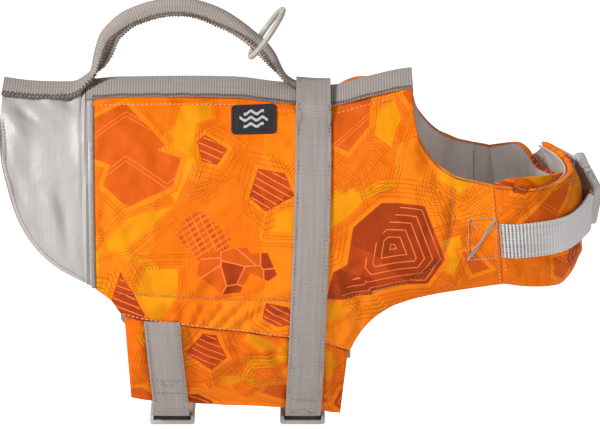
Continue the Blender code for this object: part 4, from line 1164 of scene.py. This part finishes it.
def straps():
    """Girth strap over the back, rear straps below the belly seam, and chest straps to their buckle."""
    right, left = (down_rows(label, side, GIRTH_LINE, ON_RIDGE) for label, side in SIDES)
    strap("girth_webbing", np.concatenate([right[::-1], left[1:]]), STRAP_WEB, "girth_strap")
    for label, side in SIDES:
        rows = down_rows(label, side, REAR_LINE, REAR_STRAP_TOP)
        strap(f"rear_webbing_{label}", rows, STRAP_WEB, f"rear_strap_{label}")
    turn = chest_buckle_turn()
    for label, side in SIDES:
        rows = [on_chest(angle if side == RIGHT else 180 - angle, height + STRAP_ACROSS[::-1], off)
                for angle, height, off in CHEST_STRAP[label]]
        for ahead, above in CHEST_LEAD_IN[label]:  # on to the buckle, under its end bar and up to the slot
            rows.append(np.array([turn @ (Vector((x, ahead, above)) * MM) / MM for x in STRAP_ACROSS]))
        strap(f"chest_webbing_{label}", np.array(rows), BRIGHT_RIB, f"chest_strap_{label}",
              rib_lift=CHEST_RIB_LIFT)


def piping():
    """A cord sewn into silver nylon, standing along the seam between the rump and the side panels."""
    for label, side in SIDES:
        bottom = float(drop_at(PIPING_STATIONS[1], PIPING_BOTTOM))
        drop = np.linspace(PIPING_TOP_DROP, bottom, 220)
        station = PIPING_STATIONS[0] + (PIPING_STATIONS[1] - PIPING_STATIONS[0]) * drop / bottom
        centre, normal = laid_on_body(side, station, drop, PIPING_PROUD - PIPING_RADIUS + 0.2)
        aside = unit(np.cross(unit(np.gradient(centre, axis=0)), normal))
        run = lengths(centre)
        size = PIPING_SIZE + 0.05 * np.sin(2 * np.pi * run / 2.1)
        angles = (2 * np.pi * np.arange(PIPING_TURNS) / PIPING_TURNS)[None, :]
        hoop = np.cos(angles)[..., None] * normal[:, None, :] + np.sin(angles)[..., None] * aside[:, None, :]
        points = centre[:, None, :] + hoop * size[:, None, None]
        index = np.arange(len(drop) * PIPING_TURNS).reshape(len(drop), PIPING_TURNS)
        after = np.roll(index, -1, axis=1)
        faces = np.stack([index[:-1], after[:-1], after[1:], index[1:]], -1).reshape(-1, 4).tolist()
        faces += [index[0, ::-1].tolist(), index[-1].tolist()]
        flat = np.stack(np.broadcast_arrays(run[:, None], angles * 1.25), -1).reshape(-1, 2)
        made = mesh_piece(f"piping_cord_{label}", points.reshape(-1, 3), faces, PIPING_CLOTH,
                          flat, turned=True)
        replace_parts(made, f"piping_{label}")


# ---------------------------------------------------------------- stitching
BOX_STITCH = [(184.5, -88), (184.5, -118), (204, -117), (204, -87)]  # station and height of its corners


def every_mm(rows, run):
    """Each column of rows on a smooth curve, one mm apart along their run."""
    return smooth(run, rows, np.linspace(0, run[-1], int(run[-1]) + 2)).T


def body_run(side, corners, lift):
    """Points and normals of a seam drawn on the body, its corners given as (station, height)."""
    corners = np.array(corners, float)
    station, height = every_mm(corners, lengths(corners))
    return laid_on_body(side, station, drop_at(station, height), lift)


def straight_run(side, corners, lift):
    """As body_run, with straight sides between the corners."""
    sides = [np.linspace(a, b, 30)[:-1] for a, b in zip(corners, corners[1:])]
    station, height = np.concatenate([*sides, [corners[-1]]]).T
    return laid_on_body(side, station, drop_at(station, height), lift)


def chest_run(corners, lift):
    """A seam on the chest, its corners given as (angle, height). One degree is about 1.1 mm."""
    corners = np.array(corners, float)
    angle, height = every_mm(corners, lengths(corners * (1.1, 1.0)))
    return lifted(chest, angle, height, lift)


def strap_run(node, places):
    """A run across a strap's top face, through (distance along it, distance across it)."""
    points, normals, at = STRAP_TOPS[node]
    path, ups = [], []
    for (a, b), (c, d) in zip(places, places[1:]):
        for t in np.linspace(0, 1, 24):
            i = int(round(float(np.interp(a + (c - a) * t, at, np.arange(len(at))))))
            j = int(round(float(np.interp(b + (d - b) * t, STRAP_ACROSS, np.arange(len(STRAP_ACROSS))))))
            path.append(points[i, j] + normals[i, j] * 0.05)
            ups.append(normals[i, j])
    return np.array(path), np.array(ups)


def stitching():
    peach, grey, dark, mid, teeth = [], [], [], [], []
    for _, side in SIDES:
        under_band = [(s, float(ridge(s)) - BAND_TOP - 11.5) for s in np.arange(-74, 141, 12)]
        hem = [(c, d + 1.9) for a, b, c, d in SIDE_PANEL_LINES[2:12]]
        seam = [(float(chest_seam(h)) - 2.0, h) for h in np.arange(-66, -139, -8)]
        neck = [(a - 1.3, b - 1.3) for a, b, c, d in SIDE_PANEL_LINES[17:]]
        neck_top = [*[(144.5, float(ridge(144.5)) - BAND_TOP - d) for d in (1.0, 4.0)], (144.7, -13)]
        leg = [(c - 0.6, d + 1.6) for a, b, c, d in SIDE_PANEL_LINES[12:]]
        rump = [(c + 2.2, d + 2.2) for a, b, c, d in REAR_PANEL_LINES]
        for threads, corners, lift in (
            (peach, under_band, 0.1), (mid, FOAM_STITCH, -1.15), (peach, hem, -0.15), (peach, seam, -0.35),
            (dark, neck, -0.6), (dark, neck_top, -0.6), (mid, leg, -0.6), (grey, rump, 0.05),
        ):
            threads.append(body_run(side, corners, lift))
        # overlocked edge of the spine band
        station = np.linspace(-79, 145, 260)
        teeth.append(zigzag(*laid_on_body(side, station, BAND_DROP - 0.14, 1.75), 1.9, 2.1))
    # box and cross of the chest strap's tail, sewn through the side panel
    for _, side in SIDES:
        grey.append(straight_run(side, [*BOX_STITCH, BOX_STITCH[0]], 0.35))
        heavy = straight_run(side, [BOX_STITCH[1], BOX_STITCH[3]], 0.45)
        grey += [zigzag(*heavy, width, 1.4) for width in (0.8, 2.2)]
        grey.append(straight_run(side, [BOX_STITCH[0], (194, -98)], 0.15))
    # chest flaps: both seams, the upper rim and the hem
    peach += [chest_run([(angle, h) for h in range(-67, -138, -8)], -0.35) for angle in (2.4, 177.6)]
    dark.append(chest_run([(a, b - 2.0) for a, b, c, d in OUTER_FLAP_LINES], -0.55))
    mid.append(chest_run([(a, c + 2.4) for a, b, c, d in OUTER_FLAP_LINES], -0.5))
    # the lining's own seam, on the inside of each side
    for _, side in SIDES:
        corners = [(LINING_SEAM, h) for h in range(-66, -130, -8)]
        path, ups = body_run(side, corners, -PANEL - LINING_CLEAR - LINING - 0.1)
        dark.append((path, -ups))
    # boxes sewn through the straps, and the lines along them
    length = STRAP_TOPS["girth_strap"][2][-1]
    for start in (19.0, length - 45.0):
        for places in ([(start, -9.5), (start, 9.5)], [(start + 14, -9.5), (start + 14, 9.5)],
                       [(start, -9.5), (start + 7, 0), (start, 9.5)]):
            mid.append(strap_run("girth_strap", places))
    for label, _ in SIDES:
        for places in ([(46, -9.5), (46, 9.5)], [(57, -9.5), (57, 9.5)], [(46, -9.5), (51.5, 0), (46, 9.5)],
                       [(1.5, -10.6), (66, -10.6)], [(1.5, 10.6), (66, 10.6)]):
            mid.append(strap_run(f"rear_strap_{label}", places))
    mid += [strap_run("girth_strap", [(16, off), (length - 20, off)]) for off in (-10.6, 10.6)]
    stitch_mesh("stitches_peach", peach, PEACH)
    stitch_mesh("stitches_grey", grey, GREY, length=1.9, gap=0.5)
    stitch_mesh("stitches_brown", dark, DARK, length=1.5, gap=0.1, thick=0.34)
    # overlocked edges of the handle, with a second row where it lies flat along the rump
    points, normals, at = handle_grid(0.8, 27)
    flat_part = at < 66
    teeth += [zigzag(points[:, j] + 0.35 * normals[:, j], normals[:, j], 1.3, 2.1) for j in (0, 26)]
    teeth += [zigzag(points[flat_part, j] + 0.9 * normals[flat_part, j], normals[flat_part, j], 2.6, 2.9)
              for j in (1, 25)]
    stitch_mesh("overlocked_edges", teeth, OVERLOCK, length=1.7, gap=-0.3, thick=0.36)
    stitch_mesh("stitches_taupe", mid, MID, length=2.0, gap=0.9, thick=0.24)


# ---------------------------------------------------------------- hard pieces
BUCKLE_WIDTH, BUCKLE_HEIGHT = 32, 7.5


def select_none():
    if bpy.context.object and bpy.context.object.mode != "OBJECT":
        bpy.ops.object.mode_set(mode="OBJECT")
    bpy.ops.object.select_all(action="DESELECT")


def apply_all(made):
    bpy.context.view_layer.objects.active = made
    made.select_set(True)
    for modifier in list(made.modifiers):
        bpy.ops.object.modifier_apply(modifier=modifier.name)


def box_tool(name, size, centre, bevel, segments=2):
    """A block with rounded edges, size and centre in mm."""
    select_none()
    bpy.ops.mesh.primitive_cube_add(size=1, location=[c * MM for c in centre], scale=[s * MM for s in size])
    made = bpy.context.object
    made.name = name
    bpy.ops.object.transform_apply(location=True, rotation=True, scale=True)
    edge = made.modifiers.new("rounded", "BEVEL")
    edge.width = bevel * MM
    edge.segments = segments
    apply_all(made)
    return made


def cut_away(made, *cuts):
    for cut in cuts:
        tool = box_tool(*cut)
        hole = made.modifiers.new("cut", "BOOLEAN")
        hole.operation = "DIFFERENCE"
        hole.solver = "EXACT"
        hole.object = tool
        select_none()
        apply_all(made)
        bpy.data.objects.remove(tool, do_unlink=True)


def join(pieces):
    select_none()
    for piece in pieces:
        piece.select_set(True)
    bpy.context.view_layer.objects.active = pieces[0]
    bpy.ops.object.join()
    return pieces[0]


def finish_hard(made, turn, finish, body="vest"):
    """Puts a hard piece in its place, closes its seams and gives it its finish."""
    made.data.transform(turn)
    turn_outwards(made.data, merge=1e-6)
    made.data.materials.clear()
    made.data.materials.append(finish)
    select_none()
    made.select_set(True)
    bpy.context.view_layer.objects.active = made
    bpy.ops.object.shade_smooth_by_angle(angle=math.radians(38))
    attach(made, body)
    return made


def buckle_socket(name, length, turn, node, throat=False):
    """Female half: a rounded hollow body, a window in each side for the catches, a bar for the webbing."""
    body = box_tool(name, (BUCKLE_WIDTH, length, BUCKLE_HEIGHT), (0, -length / 2, 0), 2.2, 4)
    cut_away(body, ("slot", (26, 3.6, 20), (0, -length + 5.2, 0), 0.8))
    if throat:  # the end bar is lower than the rails, and the webbing goes in over it
        cut_away(body, ("throat", (26.6, 12, 7.4), (0, -length, 3.7), 0.8))
    cut_away(body, ("mouth", (24.5, 9, 4.6), (0, -3.5, 0), 1.0),
             *(("window", (8, 9.5, 4.2), (x, -9.5, 0), 1.2) for x in (-16.5, 16.5)),
             *(("relief", (15, length - 17, 1.6), (0, -length / 2 + 2.0, z), 0.5) for z in (-4.35, 4.35)))
    ribs = [box_tool("grip", (11, 0.9, 0.7), (0, -length / 2 - 1.6 + 3.0 * k, z), 0.3)
            for z in (-3.35, 3.35) for k in range(3)]
    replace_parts(finish_hard(join([body, *ribs]), turn, ACETAL), node)


def buckle_plug(name, length, turn, node):
    """Male half: a shoulder plate with its webbing slot, and two sprung catches that show in the windows."""
    body = box_tool(name, (BUCKLE_WIDTH, length, BUCKLE_HEIGHT), (0, length / 2 + 0.15, 0), 2.2, 4)
    cut_away(body, ("slot", (26, 3.6, 20), (0, length - 5.0, 0), 0.8),
             *(("waist", (5.5, 7.5, 20), (x, 5.6, 0), 2.2, 4) for x in (-17.0, 17.0)),
             ("relief", (14, max(length - 14, 4), 1.6), (0, length / 2 - 1.2, 4.35), 0.5))
    catches = [box_tool("catch", (3.4, 8.4, 3.4), (x, -9.5, 0), 1.1, 3) for x in (-13.6, 13.6)]
    tongue = box_tool("tongue", (22, 7.5, 3.2), (0, -3.4, 0), 0.8)
    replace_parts(finish_hard(join([body, *catches, tongue]), turn, ACETAL), node)


def chest_buckle_turn():
    """Where the chest buckle sits: along the chest, rolled up at its front."""
    at = on_chest(CHEST_BUCKLE_ANGLE, CHEST_BUCKLE_HEIGHT, CHEST_BUCKLE_OFF)
    behind, ahead = (chest(CHEST_BUCKLE_ANGLE + turn, CHEST_BUCKLE_HEIGHT) for turn in (-1, 1))
    rise = math.radians(CHEST_BUCKLE_ROLL)
    ahead = Vector(ahead - behind).normalized() * math.cos(rise) + Vector((0, 0, math.sin(rise)))
    ahead.normalize()
    out = Vector((0, 0, 1)).cross(ahead).normalized() * -1
    return Matrix.Translation(Vector(at) * MM) @ Matrix((ahead.cross(out), ahead, out)).transposed().to_4x4()


def buckles():
    for label, line in (("front", GIRTH_LINE), ("rear", REAR_LINE)):
        station = float(read(line, BELLY_BUCKLE_HEIGHT))
        turn = Matrix.Translation(Vector((station, BELLY_BUCKLE_MIDDLE, BELLY_BUCKLE_HEIGHT + BAND_TOP)) * MM)
        buckle_socket(f"belly_buckle_socket_{label}", 32.0, turn, f"belly_socket_{label}", throat=True)
        buckle_plug(f"belly_buckle_plug_{label}", 22.0, turn, f"belly_plug_{label}")
        # painted shade: a dark block in the slot, round the bar where the webbing turns in
        shade_block = box_tool(f"belly_slot_shade_{label}", (25.4, 2.2, 6.4), (0, -27.3, -0.2), 0.4)
        finish_hard(shade_block, turn, SLOT_SHADE)
    turn = chest_buckle_turn()
    buckle_socket("chest_buckle_socket", 27.0, turn, "chest_socket")
    buckle_plug("chest_buckle_plug", 18.0, turn, "chest_plug")


def handle_ring():
    """Moulded ring: a turned hoop with a fine parting line round its outside."""
    select_none()
    middle = (RING_HOLE_RADIUS + RING_TUBE_RADIUS) * MM
    bpy.ops.mesh.primitive_torus_add(major_radius=middle, minor_radius=RING_TUBE_RADIUS * MM,
                                     major_segments=120, minor_segments=24)
    made = bpy.context.object
    made.name = "lead_ring"
    for vertex in made.data.vertices:
        flat = math.hypot(vertex.co.x, vertex.co.y)
        line = 0.16 * MM * mound(vertex.co.z, 0.28 * MM) if flat > middle else 0
        vertex.co.x *= (flat + line) / flat
        vertex.co.y *= (flat + line) / flat
    tilt = math.radians(RING_TILT)
    axis = Vector((math.cos(tilt), 0, -math.sin(tilt)))
    up = Vector((math.sin(tilt), 0, math.cos(tilt)))
    at = Vector((RING_STATION, 0, RING_HEIGHT + BAND_TOP)) + up * RING_OFF_AXIS
    turn = Matrix.Translation(at * MM) @ axis.to_track_quat("Z", "Y").to_matrix().to_4x4()
    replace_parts(finish_hard(made, turn, ACETAL, body="ring"), "handle_ring")


# ---------------------------------------------------------------- label
PATCH_TALL = 19.5
PATCH_CORNER = 3.0


def on_ripple(px, py):
    """1 on three wavy bars, like ripples on water."""
    total = np.zeros(px.shape)
    for row, reach in ((-4.2, 7.0), (0.0, 10.0), (4.2, 7.0)):
        line = row + np.sin(2 * np.pi * px / 8.0)
        total += (np.abs(py - line) < 0.95) * (np.abs(px) < reach)
    return total


def label_patch():
    """Moulded rubber label with no name on it: a raised rim round a plain field with three pale ripples."""
    s, t = np.meshgrid(np.linspace(0, 1, 98), np.linspace(0, 1, 58), indexing="ij")
    width = PATCH_STATIONS[1] - PATCH_STATIONS[0]
    inner_x, inner_y = width / 2 - PATCH_CORNER, PATCH_TALL / 2 - PATCH_CORNER
    px, py = (s - 0.5) * width, (t - 0.5) * PATCH_TALL
    # square corners pulled in to a rounded outline
    ax, ay = np.abs(px) - inner_x, np.abs(py) - inner_y
    corner = (ax > 0) & (ay > 0)
    shrink = np.maximum(ax, ay) / np.maximum(np.hypot(ax, ay), 1e-6)
    px = np.where(corner, np.sign(px) * (inner_x + ax * shrink), px)
    py = np.where(corner, np.sign(py) * (inner_y + ay * shrink), py)
    ax, ay = np.abs(px) - inner_x, np.abs(py) - inner_y
    edge = PATCH_CORNER - np.where((ax > 0) & (ay > 0), np.hypot(ax, ay), np.maximum(ax, ay))
    height = 0.55 + 0.55 * rounded(edge, 0.5) + 0.35 * (ease(0.2, 0.6, edge) - ease(1.4, 1.8, edge))
    height += 0.3 * on_ripple(px, py)
    station = sum(PATCH_STATIONS) / 2 + px
    level = sum(PATCH_HEIGHTS) / 2 - py / PATCH_TALL * (PATCH_HEIGHTS[0] - PATCH_HEIGHTS[1])
    drop = drop_at(station, level)
    outer, inner = (on_body(RIGHT, station, drop, PATCH_CLEAR - 0.3 + lift) for lift in (height, 0.0))
    made = wall("rubber_label", outer, inner, np.stack([px, py], -1), RUBBER, sharp=60)
    made.data.materials.append(RUBBER_PRINT)
    middles = [((grid[1:, 1:] + grid[:-1, :-1]) / 2).ravel() for grid in (px, py)]
    printed = np.zeros(len(made.data.polygons), np.int32)
    printed[:len(middles[0])] = on_ripple(*middles)
    made.data.polygons.foreach_set("material_index", printed)
    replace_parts(made, "label_patch")


# ---------------------------------------------------------------- stage
def stage_set():
    scene = bpy.context.scene
    scene.view_settings.view_transform = "Standard"
    select_none()
    bpy.ops.mesh.primitive_plane_add(size=60, location=(0, 0, -0.95))
    floor = bpy.context.object
    floor.name = "studio_floor"
    made, node, shader = new_finish("studio_floor_white", Roughness=0.9, Base_Color=(0.93, 0.93, 0.93, 1),
                                    Emission_Color=(1, 1, 1, 1))
    # the floor glows, faintly in front of the object and strongly behind it, so it is whiter there: painted
    # light
    depth = node("SeparateXYZ", node("TexCoord").outputs["Object"]).outputs[1]
    shader(Emission_Strength=node("MapRange", depth, 1.1, 2.0, 0.1, 0.95, interpolation_type="SMOOTHSTEP"))
    floor.data.materials.append(made)
    world = bpy.data.worlds.new("studio")
    scene.world = world
    world.use_nodes = True
    seen = add(world.node_tree, "LightPath").outputs["Is Camera Ray"]
    level = add(world.node_tree, "MapRange", seen, None, None, 0.14, 1.05)
    feed(world.node_tree, world.node_tree.nodes["Background"], {"Strength": level, "Color": (1, 1, 1, 1)})
    for name, place, size, power in (
        ("key", (-2.1, -1.35, 1.8), 0.7, 104.0),
        ("fill", (1.2, -2.5, 0.2), 1.8, 26.0),
        ("back", (0.2, 2.4, 1.6), 1.8, 18.0),
    ):
        data = bpy.data.lights.new(name, "AREA")
        data.size = size
        data.energy = power
        light = bpy.data.objects.new(name, data)
        scene.collection.objects.link(light)
        light.location = place
        light.rotation_euler = (Vector((0.06, 0, -0.08)) - Vector(place)).to_track_quat("-Z", "Y").to_euler()


side_panels()
rear_panels()
belly_flaps()
belly_tapes()
linings()
chest_flaps()
spine_band()
handle()
straps()
piping()
stitching()
buckles()
handle_ring()
label_patch()
stage_set()
